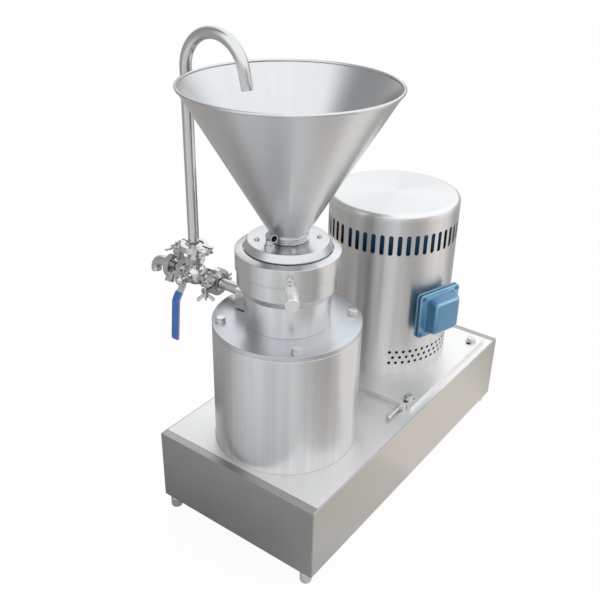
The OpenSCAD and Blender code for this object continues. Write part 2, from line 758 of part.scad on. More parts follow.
module valve_gaskets() color(black) for (j = joints) at_joint(j)
    ring(bore_r, ferrule_r - 0.5, -gasket_t / 2, gasket_t / 2);

// Clamps: the bolt is on local +X, the hinge on local -X, the tube along local Z
module clamp_shells() color(bright) for (j = joints) at_joint(j) both_ways([0, 1, 0]) clamp_half();

module clamp_half() {
    half_gasket = gasket_t / 2 + clamp_gap;
    lip_z = half_gasket + ferrule_rim + (ferrule_r - clamp_lip_r) * tan(ferrule_a);
    inner_r = ferrule_r + clamp_gap;
    difference() {
        union() {
            rotate(clamp_split_a) rotate_extrude(angle = 180 - 2 * clamp_split_a)
                polygon([[clamp_r, -clamp_w / 2], [clamp_r, clamp_w / 2], [clamp_lip_r, clamp_w / 2],
                    [clamp_lip_r, lip_z], [inner_r, half_gasket + ferrule_rim],
                    [inner_r, -half_gasket - ferrule_rim], [clamp_lip_r, -lip_z], [clamp_lip_r, -clamp_w / 2]]);
            slab(clamp_r - 3, clamp_bolt_x + 6, clamp_lug_y, clamp_lug_y + clamp_lug_t, -clamp_w / 2, clamp_w / 2);
            slab(-clamp_hinge_x - 5, -clamp_r + 3, clamp_lug_y, clamp_lug_y + 6, -clamp_w / 2, clamp_w / 2);
        }
        translate([clamp_bolt_x, 0, 0]) slab(-clamp_bolt_r - 2.3, 10, 0, 20, -clamp_bolt_r - 1, clamp_bolt_r + 1);
        translate([-clamp_hinge_x, 0, 0]) slab(-20, 4, 0, 20, -3.5, 3.5);
        translate([-clamp_hinge_x, clamp_lug_y + 3, 0]) rod(clamp_pin_r - 0.5 + fit_gap, -clamp_w, clamp_w);
        translate([clamp_bolt_x, clamp_lug_y + 4.5, 0]) rod(clamp_pin_r + fit_gap, -clamp_w, clamp_w);
    }
}

module clamp_bolts() color(bright) for (j = joints) at_joint(j) {
    swing_y = -clamp_lug_y - 4.5;
    translate([clamp_bolt_x, swing_y, 0]) {
        rod(clamp_pin_r, -clamp_w / 2, clamp_w / 2);
        difference() {
            union() {
                translate([0, 0, -3.5]) cylinder(r = 4.8, h = 7);
                rotate([-90, 0, 0]) rod(clamp_bolt_r, 0, clamp_lug_y + clamp_lug_t - swing_y + 19);
            }
            rod(clamp_pin_r + fit_gap, -clamp_w, clamp_w);
        }
    }
    difference() {
        slab(-clamp_hinge_x - 4, -clamp_hinge_x + 3.5, -clamp_lug_y - 5.5, clamp_lug_y + 5.5, -3, 3);
        both_ways([0, 1, 0]) translate([-clamp_hinge_x, clamp_lug_y + 3, 0])
            rod(clamp_pin_r - 0.5 + fit_gap, -clamp_w, clamp_w);
    }
    both_ways([0, 1, 0]) translate([-clamp_hinge_x, clamp_lug_y + 3, 0])
        rod(clamp_pin_r - 0.5, -clamp_w / 2, clamp_w / 2);
}

// Wing nut along local +Z from its seat at z = 0
module wing_nut() difference() {
    union() {
        cylinder(r1 = 7.5, r2 = 6, h = 11);
        both_ways([1, 0, 0]) rotate([90, 0, 0]) translate([0, 0, -1.75]) linear_extrude(3.5)
            wing_outline();
    }
    rod(clamp_bolt_r + run_gap, -1, wing_h + 5);
}
module wing_outline() {
    polygon([[0, 2], [6, 3], [wing_r - 1.5, wing_h - 7.5], [wing_r - 7, wing_h - 0.8], [4, 10], [0, 10]]);
    translate([wing_r - 4.5, wing_h - 4.5]) circle(r = 4.5);
}
module at_wing_nut(j) at_joint(j) translate([clamp_bolt_x, clamp_lug_y + clamp_lug_t, 0])
    rotate([-90, 0, 0]) rotate(j[3]) children();
module wing_nut_outlet() color(bright) at_wing_nut(outlet_joint) wing_nut();
module wing_nut_spout() color(bright) at_wing_nut(spout_joint) wing_nut();
module wing_nut_return() color(bright) at_wing_nut(return_joint) wing_nut();

// Valve: three ports, the stem along -X
module valve_body() color(bright) at_valve() difference() {
    face = valve_reach - gasket_t / 2;
    union() {
        sphere(r = valve_r);
        rotate([0, -90, 0]) rod(stem_boss_r, 0, stem_boss_l);
        for (j = joints) rotate(j[0]) {
            rod(valve_port_r, 0, valve_hex_z + valve_hex_l + 4);
            rotate(30) hex_rod(valve_hex_r, valve_hex_z, valve_hex_z + valve_hex_l);
            translate([0, 0, face]) ferrule();
        }
    }
    sphere(r = valve_ball_r + run_gap);
    for (j = joints) rotate(j[0]) rod(bore_r, 0, face + 1);
    rotate([0, -90, 0]) rod(stem_r + run_gap, 0, stem_boss_l + 1);
}

module valve_ball() color(bright) at_valve() difference() {
    sphere(r = valve_ball_r);
    rod(bore_r, -valve_ball_r - 1, valve_ball_r + 1);
    rotate([90, 0, 0]) rod(bore_r, 0, valve_ball_r + 1);
    rotate([0, -90, 0]) rod(stem_r + fit_gap, valve_ball_r - stem_seat, valve_ball_r + 1);
}

module valve_stem() color(bright) at_valve() rotate([0, -90, 0]) rod(stem_r, valve_ball_r - stem_seat, stem_l);

module stem_gland() color(bright) at_valve() rotate([0, -90, 0]) difference() {
    union() {
        hex_rod(gland_r + 1, stem_boss_l, stem_boss_l + gland_l - 2);
        rod(gland_r - 2, stem_boss_l, stem_boss_l + gland_l);
    }
    rod(stem_r + run_gap, stem_boss_l - 1, stem_boss_l + gland_l + 1);
}

// The lever hangs from the stem: a flat eye, a slanted step and a straight grip
module lever_strip(t, back, z_start, tail) {
    x = lever_x - back;
    f = (z_start < 0) ? sleeve_start : 0;
    start_x = x + f * lever_step;
    start_z = -lever_bend_top - f * (lever_bend_low - lever_bend_top);
    rotate([90, 0, 0]) linear_extrude(lever_w + 2 * back, center = true) polygon(concat(
        f > 0 ? [[-start_x, start_z]] : [[-x, z_start], [-x, -lever_bend_top]],
        [[-x - lever_step, -lever_bend_low], [-x - lever_step - lever_lean, -lever_l - tail],
            [-x - lever_step - lever_lean - t, -lever_l - tail], [-x - lever_step - t, -lever_bend_low]],
        f > 0 ? [[-start_x - t, start_z]] : [[-x - t, -lever_bend_top], [-x - t, z_start]]));
}

module valve_lever() color(bright) at_valve() difference() {
    lever_strip(lever_t, 0, 6.5, 0);
    rotate([0, -90, 0]) rod(stem_r + fit_gap, lever_x - 1, lever_x + lever_t + 1);
}

module lever_sleeve() color(blue) at_valve() difference() {
    lever_strip(lever_t + 2 * sleeve_wall, sleeve_wall, -1, sleeve_wall);
    lever_strip(lever_t + 2 * fit_gap, fit_gap, 6.5, fit_gap);
}

module lever_nut() color(bright) at_valve() rotate([0, -90, 0]) translate([0, 0, lever_x + lever_t]) difference() {
    union() {
        rod(lever_nut_r, 0, 4);
        translate([0, 0, 4]) sphere(r = lever_nut_r);
    }
    rod(lever_nut_r + 1, -lever_nut_r, 0);
    rod(stem_r + fit_gap, -1, lever_nut_l + fit_gap);
}

// Motor
module motor_plate() color(steel) on_deck() translate([motor_x, 0, 0]) difference() {
    slab(-plate_front, plate_rear, -plate_y, plate_y, 0, plate_t);
    translate([0, motor_y, 0]) rod(register_r + fit_gap, -1, plate_t + 1);
    plate_bolt_places() translate([-take_up / 2, 0, -1]) linear_extrude(plate_t + 2)
        slot_2d(plate_slot_l, bolt_d + 2);
}

module motor_frame() color(blue) at_motor() {
    ring(frame_in_r, frame_r, frame_foot, frame_top);
    for (i = [0 : fin_n - 1]) fin(term_a + fin_free_a + i * (360 - 2 * fin_free_a) / (fin_n - 1));
}
module fin(a) rotate(a) slab(frame_r - 1, fin_r, -fin_t / 2, fin_t / 2, frame_foot + fin_end, frame_top - fin_end);

module motor_shields() color(blue) at_motor() {
    difference() {
        union() {
            rod(register_r, 1, motor_foot);
            rod(fin_r, motor_foot, frame_foot);
            rod(frame_in_r - fit_gap, frame_foot, frame_foot + shield_spigot);
        }
        rod(shaft_r + 4, 0, frame_foot + shield_spigot + 1);
        rod(motor_bearing_r + fit_gap, frame_foot + shield_spigot - motor_bearing_w, frame_foot + shield_spigot + 1);
    }
    difference() {
        union() {
            rod(cowl_r, frame_top, frame_top + shield_t);
            rod(frame_in_r - fit_gap, frame_top - shield_spigot, frame_top);
        }
        rod(shaft_r + 4, frame_top - shield_spigot - 1, frame_top + shield_t + 1);
        rod(motor_bearing_r + fit_gap, frame_top - shield_spigot - 1,
            frame_top - shield_spigot + motor_bearing_w);
    }
}

module motor_bearings() color(bright) at_motor()
    for (z = [frame_foot + shield_spigot - motor_bearing_w, frame_top - shield_spigot])
        ring(shaft_r + run_gap, motor_bearing_r, z, z + motor_bearing_w);

module motor_stator() color(dark) at_motor() ring(core_r, frame_in_r - fit_gap, core_z, core_z + core_l);
module motor_rotor_core() color(dark) at_motor()
    ring(shaft_r + fit_gap, core_r - air_gap, core_z, core_z + core_l);
module motor_shaft() color(bright) at_motor() rod(shaft_r, shaft_end_z, fan_z + fan_h);

module cooling_fan() color(black) at_motor() difference() {
    union() {
        rod(fan_r, fan_z, fan_z + fan_t);
        rod(fan_hub_r, fan_z, fan_z + fan_h);
        around(blade_n) slab(fan_hub_r - 5, fan_r - 3, -fan_t / 2, fan_t / 2, fan_z, fan_z + fan_h);
    }
    rod(shaft_r + fit_gap, fan_z - 1, fan_z + fan_h + 1);
}

module fan_cowl() color(blue) at_motor() difference() {
    turned([[cowl_r + fit_gap, frame_top], [cowl_r + cowl_wall, frame_top],
        [cowl_r + cowl_wall, cowl_top - cowl_bevel], [cowl_r + cowl_wall - cowl_bevel, cowl_top], [0, cowl_top],
        [0, cowl_top - cowl_wall], [cowl_r - cowl_bevel - 1, cowl_top - cowl_wall],
        [cowl_r + fit_gap, cowl_top - cowl_bevel - 1]]);
    around(18) slab(fan_hub_r, fan_r, -3, 3, cowl_top - cowl_wall - 1, cowl_top + 1);
}

// Motor cover: a drawn shell with slots above and holes below
module motor_cover() color(steel) at_motor() difference() {
    cover_shell();
    for (i = [0 : slot_n - 1]) rotate(slot_first_a + i * slot_pitch_a)
        translate([cover_r - 8, 0, slot_z + slot_h / 2]) along_x() linear_extrude(16) slot_2d(slot_h, slot_w);
    for (row = [0 : hole_rows - 1], i = [0 : hole_cols - 1 - row % 2])
        rotate(term_a + (i - (hole_cols - 1 - row % 2) / 2) * hole_pitch_a)
            translate([cover_r - 8, 0, hole_z + row * hole_row_h]) along_x() cylinder(d = hole_d, h = 16);
    rotate(term_a) translate([cover_r, 0, term_z])
        cube([60, term_neck_w + 2 * term_cut_gap, term_neck_h + 2 * term_cut_gap], center = true);
}

module cover_shell() {
    in_r = cover_r - cover_wall;
    in_round = cover_round - cover_wall;
    rotate_extrude() difference() {
        union() {
            translate([0, plate_t]) square([cover_r, cover_top - cover_round - plate_t]);
            square_to(cover_r - cover_round, cover_top - cover_round, cover_top);
            translate([cover_r - cover_round, cover_top - cover_round]) corner(cover_round);
        }
        translate([0, plate_t - 1]) square([in_r, cover_top - cover_round - plate_t + 1]);
        square_to(in_r - in_round, cover_top - cover_round - 1, cover_top - cover_wall);
        translate([in_r - in_round, cover_top - cover_round]) corner(in_round);
    }
}
module square_to(w, z0, z1) translate([0, z0]) square([w, z1 - z0]);
module corner(r) intersection() {
    circle(r = r);
    square(r);
}

// Terminal box, along local +X from the motor axis
module at_terminal() at_motor() rotate(term_a) translate([0, 0, term_z]) children();
module term_plate(x0, t) translate([x0, 0, 0]) along_x() linear_extrude(t) rounded_2d(term_h, term_w, 8);
module rounded_2d(l, w, r) {
    square([l, w - 2 * r], center = true);
    square([l - 2 * r, w], center = true);
    for (x = [-1, 1], y = [-1, 1]) translate([x * (l / 2 - r), y * (w / 2 - r)]) circle(r = r);
}
module term_screw_places() for (y = [-1, 1], z = [-1, 1])
    translate([0, y * (term_w / 2 - 9), z * (term_h / 2 - 9)]) along_x() children();

module terminal_box() color(blue) at_terminal() difference() {
    union() {
        slab(frame_in_r, term_seat, -term_neck_w / 2, term_neck_w / 2, -term_neck_h / 2, term_neck_h / 2);
        term_plate(term_seat - term_flange_t, term_flange_t);
    }
    rod(frame_r + fit_gap, -term_h, term_h);
    slab(frame_r + 14, term_seat + 1, -term_neck_w / 2 + term_wall, term_neck_w / 2 - term_wall,
        -term_neck_h / 2 + term_wall, term_neck_h / 2 - term_wall);
    term_screw_places() rod(term_screw_r + fit_gap, term_seat - term_flange_t - 1, term_seat + 1);
}

module terminal_gasket() color(black) at_terminal() difference() {
    term_plate(term_seat, term_gasket_t);
    slab(term_seat - 1, term_seat + term_gasket_t + 1, -term_neck_w / 2 + term_wall, term_neck_w / 2 - term_wall,
        -term_neck_h / 2 + term_wall, term_neck_h / 2 - term_wall);
    term_screw_places() rod(term_screw_r + fit_gap, term_seat - 1, term_seat + term_gasket_t + 1);
}

module terminal_cover() color(blue) at_terminal() difference() {
    union() {
        term_plate(term_seat + term_gasket_t, term_flange_t);
        term_dome();
    }
    term_screw_places() rod(term_screw_r + fit_gap, term_seat, term_face);
}

module term_dome() {
    foot = term_seat + term_gasket_t + term_flange_t - 1;
    r = term_dome_round;
    hull() {
        for (y = [-1, 1], z = [-1, 1]) {
            translate([foot, y * (term_dome_w / 2 - r), z * (term_dome_h / 2 - r)])
                along_x() cylinder(r = r, h = 1, $fn = 32);
            translate([term_face - r, y * (term_dome_w / 2 - r - term_dome_draft),
                z * (term_dome_h / 2 - r - term_dome_draft)]) sphere(r = r, $fn = 32);
        }
    }
}

module terminal_screws() color(bright) at_terminal() term_screw_places() {
    head = term_seat + term_gasket_t + term_flange_t;
    rod(term_screw_r, term_seat - term_flange_t, head);
    difference() {
        rod(term_head_r, head, head + 3);
        hex_rod(2.2, head + 1.5, head + 4);
    }
}

// Take-up screw, along -X from the motor plate's front edge
module at_take_up() on_deck() translate([motor_x - plate_front, screw_y, screw_z]) rotate([0, -90, 0]) children();
module tension_lug() color(steel) at_take_up() difference() {
    slab(-screw_z, lug_h - screw_z, -lug_w / 2, lug_w / 2, lug_gap, lug_gap + lug_t);
    rod(screw_r + run_gap, 0, lug_gap + lug_t + 1);
}
module tension_nut() color(bright) at_take_up() difference() {
    hex_rod(nut_r, lug_gap + lug_t, lug_gap + lug_t + nut_t);
    rod(screw_r + run_gap, 0, lug_gap + lug_t + nut_t + 1);
}
module tension_screw() color(bright) at_take_up() difference() {
    union() {
        rod(screw_r, 0, screw_l);
        rod(screw_head_r, screw_l, screw_l + screw_head_l);
    }
    hex_rod(screw_r * 0.85, screw_l + screw_head_l - 5, screw_l + screw_head_l + 1);
}

base_deck();
base_side_panels();
base_end_panels();
feet();
pedestal_shell();
pedestal_flange();
hex_bolts();
bearing_housing();
bearing_outer_rings();
bearing_cap();
shaft_seal();
mill_housing();
outlet_spool();
v_belts();
valve_body();
valve_gaskets();
stem_gland();
spout_elbow();
return_pipe();
clamp_shells();
clamp_bolts();
tension_lug();
tension_nut();
motor_plate();
motor_frame();
motor_stator();
motor_shields();
motor_bearings();
fan_cowl();
motor_cover();
terminal_box();
terminal_gasket();
terminal_cover();
terminal_screws();
motor_shaft();
motor_rotor_core();
cooling_fan();
drive_pulley();
spindle_shaft();
mill_rotor();
rotor_nut();
driven_pulley();
bearing_inner_rings();
adjusting_ring();
ring_handle();
lock_screw();
feed_cover();
cover_screws();
mill_stator();
hopper();
cooling_elbow();
valve_ball();
valve_stem();
valve_lever();
lever_sleeve();
lever_nut();
wing_nut_outlet();
wing_nut_spout();
wing_nut_return();
tension_screw();
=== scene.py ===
"""Looks of an upright colloid mill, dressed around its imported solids.

Sizes are in millimetres until a mesh is made, heights of the mill and the motor count from the
deck, and angles are in degrees from +X.
"""
import logging
import math
from dataclasses import dataclass
from enum import Enum
from typing import Optional, Sequence, Union

import bmesh
import bpy
import numpy as np
from mathutils import Matrix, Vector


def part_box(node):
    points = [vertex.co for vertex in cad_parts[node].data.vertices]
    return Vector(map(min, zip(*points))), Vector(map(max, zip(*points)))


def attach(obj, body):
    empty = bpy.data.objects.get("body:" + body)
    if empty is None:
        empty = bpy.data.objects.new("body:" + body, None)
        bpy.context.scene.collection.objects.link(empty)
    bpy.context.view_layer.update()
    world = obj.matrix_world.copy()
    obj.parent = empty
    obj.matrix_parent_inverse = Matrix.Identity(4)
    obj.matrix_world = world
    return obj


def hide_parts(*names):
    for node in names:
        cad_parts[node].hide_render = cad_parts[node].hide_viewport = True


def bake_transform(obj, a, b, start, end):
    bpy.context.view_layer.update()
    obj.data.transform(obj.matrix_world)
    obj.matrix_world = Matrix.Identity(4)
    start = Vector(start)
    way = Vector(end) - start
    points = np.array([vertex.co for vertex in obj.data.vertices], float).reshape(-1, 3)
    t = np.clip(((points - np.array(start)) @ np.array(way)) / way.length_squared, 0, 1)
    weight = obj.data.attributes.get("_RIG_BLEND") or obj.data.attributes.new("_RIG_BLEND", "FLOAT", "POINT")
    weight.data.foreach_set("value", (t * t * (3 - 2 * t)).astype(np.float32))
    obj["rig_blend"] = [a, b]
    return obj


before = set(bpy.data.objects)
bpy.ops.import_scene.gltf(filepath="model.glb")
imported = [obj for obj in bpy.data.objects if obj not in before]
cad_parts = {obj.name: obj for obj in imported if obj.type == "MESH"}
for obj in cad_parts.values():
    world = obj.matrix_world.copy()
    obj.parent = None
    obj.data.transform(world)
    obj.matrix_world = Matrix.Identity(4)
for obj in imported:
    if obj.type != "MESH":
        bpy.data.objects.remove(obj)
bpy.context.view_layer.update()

LOG = logging.getLogger("colloid_mill")
MM = 0.001
TAU = 2.0 * math.pi
SHARP = 32.0  # degrees: a larger angle between faces stays an edge
FLAT = 0.2  # degrees: faces of a solid within this angle become one
MERGE = 0.002  # millimetres: points as near as this become one
CLEAR = 0.02  # millimetres between a piece and the face it stands on
Array = np.ndarray
Colour = tuple[float, float, float]


def scaled(colour: Colour, share: float) -> Colour:
    """A darker or paler colour, at most white."""
    return tuple(min(1.0, share * c) for c in colour)


def millimetres(box: Sequence[Sequence[float]]) -> tuple[Array, Array]:
    """Low and high corner of a box, from metres."""
    return np.array(box[0]) / MM, np.array(box[1]) / MM


def spots(*parts: Union[float, Array]) -> Array:
    """Points from their parts, each a number or an array."""
    return np.stack(np.broadcast_arrays(*parts), -1)


def arc(x: float, y: float, radius: float, angles: Array) -> Array:
    """Points of an arc: (x + radius cos a, y + radius sin a)."""
    return spots(x + radius * np.cos(angles), y + radius * np.sin(angles))


def heading(degrees: float) -> tuple[float, float, float]:
    """Level direction at an angle from +X: (cos a, sin a, 0)."""
    return math.cos(math.radians(degrees)), math.sin(math.radians(degrees)), 0.0


def vertices(mesh: bpy.types.Mesh) -> Array:
    """Read the points of a mesh.

    Args:
        mesh: the mesh.

    Returns:
        Rows of three, in millimetres.
    """
    points = np.empty(len(mesh.vertices) * 3)
    mesh.vertices.foreach_get("co", points)
    return points.reshape(-1, 3) / MM


class Value:
    """A socket of a node tree that takes part in Python arithmetic."""

    def __init__(self, shader: "Shader", socket: bpy.types.NodeSocket) -> None:
        """Keep the tree and the socket."""
        self.shader = shader
        self.socket = socket

    def _maths(self, operation: str, first: "Number", second: "Number" = 0.0) -> "Value":
        """Add a Math node on two numbers and return its result."""
        return self.shader.out("ShaderNodeMath", {"operation": operation}, {0: first, 1: second})

    def __add__(self, other: "Number") -> "Value":
        """Sum."""
        return self._maths("ADD", self, other)

    __radd__ = __add__

    def __sub__(self, other: "Number") -> "Value":
        """Difference."""
        return self._maths("SUBTRACT", self, other)

    def __rsub__(self, other: "Number") -> "Value":
        """Difference with this value taken away."""
        return self._maths("SUBTRACT", other, self)

    def __mul__(self, other: "Number") -> "Value":
        """Product."""
        return self._maths("MULTIPLY", self, other)

    __rmul__ = __mul__

    def __truediv__(self, other: "Number") -> "Value":
        """Quotient."""
        return self._maths("DIVIDE", self, other)

    def __rtruediv__(self, other: "Number") -> "Value":
        """Quotient with this value below."""
        return self._maths("DIVIDE", other, self)

    def root(self) -> "Value":
        """Square root."""
        return self._maths("SQRT", self)

    def wave(self) -> "Value":
        """Sine, in radians."""
        return self._maths("SINE", self)

    def angle(self, across: "Number") -> "Value":
        """Angle of the point (across, this value), in radians."""
        return self._maths("ARCTAN2", self, across)

    def most(self, other: "Number") -> "Value":
        """Larger of the two."""
        return self._maths("MAXIMUM", self, other)

    def step(self, low: float, high: float) -> "Value":
        """Smooth step from 0 at low to 1 at high."""
        return self.shader.out("ShaderNodeMapRange", {"interpolation_type": "SMOOTHSTEP"},
                               {"Value": self, "From Min": low, "From Max": high})


Number = Union[float, Value]


class Shader:
    """A node tree, of a material or the world, written as expressions."""

    def __init__(self, owner: Union[bpy.types.Material, bpy.types.World]) -> None:
        """Start the owner's tree empty.

        Args:
            owner: the material or the world.
        """
        owner.use_nodes = True
        self.owner = owner
        self.tree = owner.node_tree
        self.tree.nodes.clear()

    def node(self, kind: str, settings: Optional[dict] = None, sockets: Optional[dict] = None) -> bpy.types.Node:
        """Add one node.

        Args:
            kind: Blender's type of the node.
            settings: its properties, set first.
            sockets: values or links of its inputs, by name or number.

        Returns:
            The node.
        """
        made = self.tree.nodes.new(kind)
        for key, value in (settings or {}).items():
            setattr(made, key, value)
        for key, value in (sockets or {}).items():
            if isinstance(value, Value):
                self.tree.links.new(value.socket, made.inputs[key])
            else:
                made.inputs[key].default_value = value
        return made

    def out(self, kind: str, settings: Optional[dict] = None, sockets: Optional[dict] = None,
            output: Union[int, str] = 0) -> Value:
        """Add one node and return one of its outputs."""
        return Value(self, self.node(kind, settings, sockets).outputs[output])

    def position(self, centre: Sequence[float] = (0.0, 0.0, 0.0)) -> Value:
        """Object coordinates from a centre, in metres.

        Args:
            centre: the point, in millimetres.

        Returns:
            The vector.
        """
        point = self.out("ShaderNodeTexCoord", output="Object")
        place = [-MM * c for c in centre]
        return self.out("ShaderNodeMapping", {"vector_type": "POINT"}, {"Vector": point, "Location": place})

    def split(self, vector: Value) -> tuple[Value, Value, Value]:
        """Take a vector apart."""
        parts = self.node("ShaderNodeSeparateXYZ", None, {0: vector}).outputs
        return Value(self, parts[0]), Value(self, parts[1]), Value(self, parts[2])

    def join(self, x: Number, y: Number, z: Number) -> Value:
        """Put a vector together."""
        return self.out("ShaderNodeCombineXYZ", None, {0: x, 1: y, 2: z})

    def stretched(self, vector: Value, scale: Sequence[float]) -> Value:
        """Multiply a vector part by part."""
        return self.out("ShaderNodeVectorMath", {"operation": "MULTIPLY"}, {0: vector, 1: scale})

    def noise(self, vector: Value, scale: float, detail: float = 3.0, rough: float = 0.55) -> Value:
        """Smooth noise between 0 and 1 at so many lumps per unit."""
        return self.out("ShaderNodeTexNoise", None,
                        {"Vector": vector, "Scale": scale, "Detail": detail, "Roughness": rough})

    def blend(self, share: Number, first: Union[Colour, Value], second: Union[Colour, Value]) -> Value:
        """Mix two colours by a share."""
        wide = [c if isinstance(c, Value) else (*c, 1.0) for c in (first, second)]
        return self.out("ShaderNodeMix", {"data_type": "RGBA"}, {0: share, 6: wide[0], 7: wide[1]}, 2)

    def bump(self, height: Value, strength: float, depth: float) -> Value:
        """Normal of a height field from 0 to 1, with its share and its height in millimetres."""
        return self.out("ShaderNodeBump", None, {"Height": height, "Strength": strength, "Distance": depth * MM})

    def rays(self) -> tuple[Value, Value]:
        """Tell the camera's rays from those that were mirrored or let through.

        Returns:
            Both shares, each 0 or 1.
        """
        path = self.node("ShaderNodeLightPath").outputs
        names = ("Is Camera Ray", "Is Glossy Ray", "Is Transmission Ray")
        seen, glossy, through = (Value(self, path[name]) for name in names)
        return seen, glossy.most(through)

    def surface(self, **sockets: object) -> bpy.types.Material:
        """Close a material with the Principled shader.

        Args:
            **sockets: its inputs, with spaces written as underscores.

        Returns:
            The material.
        """
        named = {key.replace("_", " "): value for key, value in sockets.items()}
        shade = self.out("ShaderNodeBsdfPrincipled", None, named)
        self.node("ShaderNodeOutputMaterial", None, {"Surface": shade})
        return self.owner


class Grain(Enum):
    """Way in which a steel surface was brushed."""

    ALONG_X = "along the base"
    ALONG_Y = "across the base"
    TURNED = "round an upright axis"
    NONE = "polished or tumbled"


@dataclass(frozen=True)
class Finish:
    """A named look."""

    name: str

    def start(self, centre: Sequence[float] = (0.0, 0.0, 0.0)) -> tuple[Shader, Value]:
        """An empty material of this name, and object coordinates from a centre."""
        shader = Shader(bpy.data.materials.new(self.name))
        return shader, shader.position(centre)


@dataclass(frozen=True)
class Steel(Finish):
    """Stainless steel with brushing lines, smudges and a faint change of tone.

    Tone and roughness follow noise that is drawn out along the brushing, with lumps of about a
    millimetre across it, plus slow noise for handling marks. Stripes are noise of the angle round
    the axis, as rolling leaves them. On striped steel the colour above the stripes' top is a tenth
    paler: painted light on the top.
    """

    colour: Colour = (0.64, 0.63, 0.61)
    roughness: float = 0.34
    grain: Grain = Grain.NONE
    centre: tuple[float, float] = (0.0, 0.0)
    anisotropy: float = 0.0
    streak: float = 0.14
    smudge: float = 0.12
    relief: float = 0.10
    stripe: float = 0.0
    stripe_stop_lit_top: float = 9000.0
    metal: float = 1.0
    fine: float = 900.0
    along: float = 5.0
    tumbled: float = 260.0
    mark_scale: float = 11.0
    spot_scale: float = 60.0

    def lines(self, shader: Shader, point: Value) -> Value:
        """Coordinates in which round noise becomes brushing lines.

        Args:
            shader: the material's tree.
            point: object coordinates.

        Returns:
            The vector.
        """
        if self.grain is Grain.ALONG_X:
            return shader.stretched(point, (self.along, self.fine, self.fine))
        if self.grain is Grain.ALONG_Y:
            return shader.stretched(point, (self.fine, self.along, self.fine))
        if self.grain is Grain.TURNED:
            x, y, z = shader.split(point)
            return shader.join((x * x + y * y).root() * self.fine, y.angle(x) * 2.0, z * self.fine)
        return shader.stretched(point, [self.tumbled] * 3)

    def material(self) -> bpy.types.Material:
        """Make the material.

        Returns:
            The material.
        """
        shader, point = self.start((*self.centre, 0.0))
        lines = self.lines(shader, point)
        fine = shader.noise(lines, 1.0, 2.0, 0.5)
        wide = shader.noise(lines, 0.17, 2.0)
        marks = shader.noise(point, self.mark_scale, 4.0, 0.6)
        spots = shader.noise(point, self.spot_scale, 2.0)
        tone = (fine * 0.45 + wide * 0.35 + marks * 0.2).step(0.25, 0.75)
        dark = scaled(self.colour, 1.0 - 0.55 * self.streak)
        pale = scaled(self.colour, 1.0 + 0.45 * self.streak)
        rough = (self.roughness + (fine - 0.5) * self.streak + (marks - 0.5) * self.smudge
                 + (spots - 0.5) * (0.3 * self.smudge)).most(0.04)
        shade = shader.blend(tone, dark, pale)
        if self.stripe > 0.0:
            x, y, z = shader.split(point)
            around = shader.noise(shader.join(y.angle(x) * 9.0, z * 0.6, 0.0), 1.0, 2.0, 0.5)
            shade = shader.blend(around.step(0.3, 0.7) * self.stripe, shade, scaled(self.colour, 0.6))
            # Above the stripes' top the colour is a tenth paler: painted light on the upward face.
            top = z.step((self.stripe_stop_lit_top - 9.0) * MM, self.stripe_stop_lit_top * MM)
            shade = shader.blend(top, shade, scaled(self.colour, 1.1))
        normal = shader.bump(fine, self.relief, 0.05)
        return shader.surface(Base_Color=shade, Metallic=self.metal, Roughness=rough,
                              Normal=normal, Anisotropic=self.anisotropy, Anisotropic_Rotation=0.25)


@dataclass(frozen=True)
class Paint(Finish):
    """Stoved enamel, some with metal flakes, with a slight peel, paler scuffs and painted highlights.

    Scuffs follow peaks of noise; the attribute "edge", on pieces that have it, is a painted
    highlight along bevels and rims, in the same pale colour.
    """

    colour: Colour
    # pale colour of the scuffs, and of the painted highlights
    pale_scuff_and_highlight: Colour
    roughness: float = 0.32
    peel: float = 0.22
    coat: float = 0.25
    metal: float = 0.0

    def material(self) -> bpy.types.Material:
        """Make the material.

        Returns:
            The material.
        """
        shader, point = self.start()
        peel = shader.noise(point, 420.0, 2.0)
        cloud = shader.noise(point, 14.0, 3.0)
        # The "edge" attribute is a painted highlight; it joins the noise scuffs in one pale mix.
        edge = shader.out("ShaderNodeAttribute", {"attribute_name": "edge"}, None, "Fac")
        scuff_and_highlight_share = (shader.noise(point, 95.0, 5.0, 0.7).step(0.66, 0.78) * 0.3).most(edge)
        shade = shader.blend(cloud.step(0.3, 0.7), scaled(self.colour, 0.88), self.colour)
        rough = self.roughness + (cloud - 0.5) * 0.16 + scuff_and_highlight_share * 0.12
        return shader.surface(Base_Color=shader.blend(scuff_and_highlight_share, shade, self.pale_scuff_and_highlight), Roughness=rough,
                              Normal=shader.bump(peel, self.peel, 0.12), Coat_Weight=self.coat,
                              Coat_Roughness=0.1, Metallic=self.metal)


@dataclass(frozen=True)
class Moulded(Finish):
    """Rubber, vinyl or plastic: a fine matt skin with dust in slow patches."""

    colour: Colour
    roughness: float = 0.6
    skin: float = 700.0
    relief: float = 0.3
    dust: float = 0.12

    def material(self) -> bpy.types.Material:
        """Make the material.

        Returns:
            The material.
        """
        shader, point = self.start()
        skin = shader.noise(point, self.skin, 3.0)
        patch = shader.noise(point, 22.0, 4.0).step(0.4, 0.75)
        pale = tuple(c + (0.45 - c) * self.dust for c in self.colour)
        rough = self.roughness + (skin - 0.5) * 0.14 + patch * 0.1
        return shader.surface(Base_Color=shader.blend(patch, self.colour, pale), Roughness=rough,
                              Normal=shader.bump(skin, self.relief, 0.08))


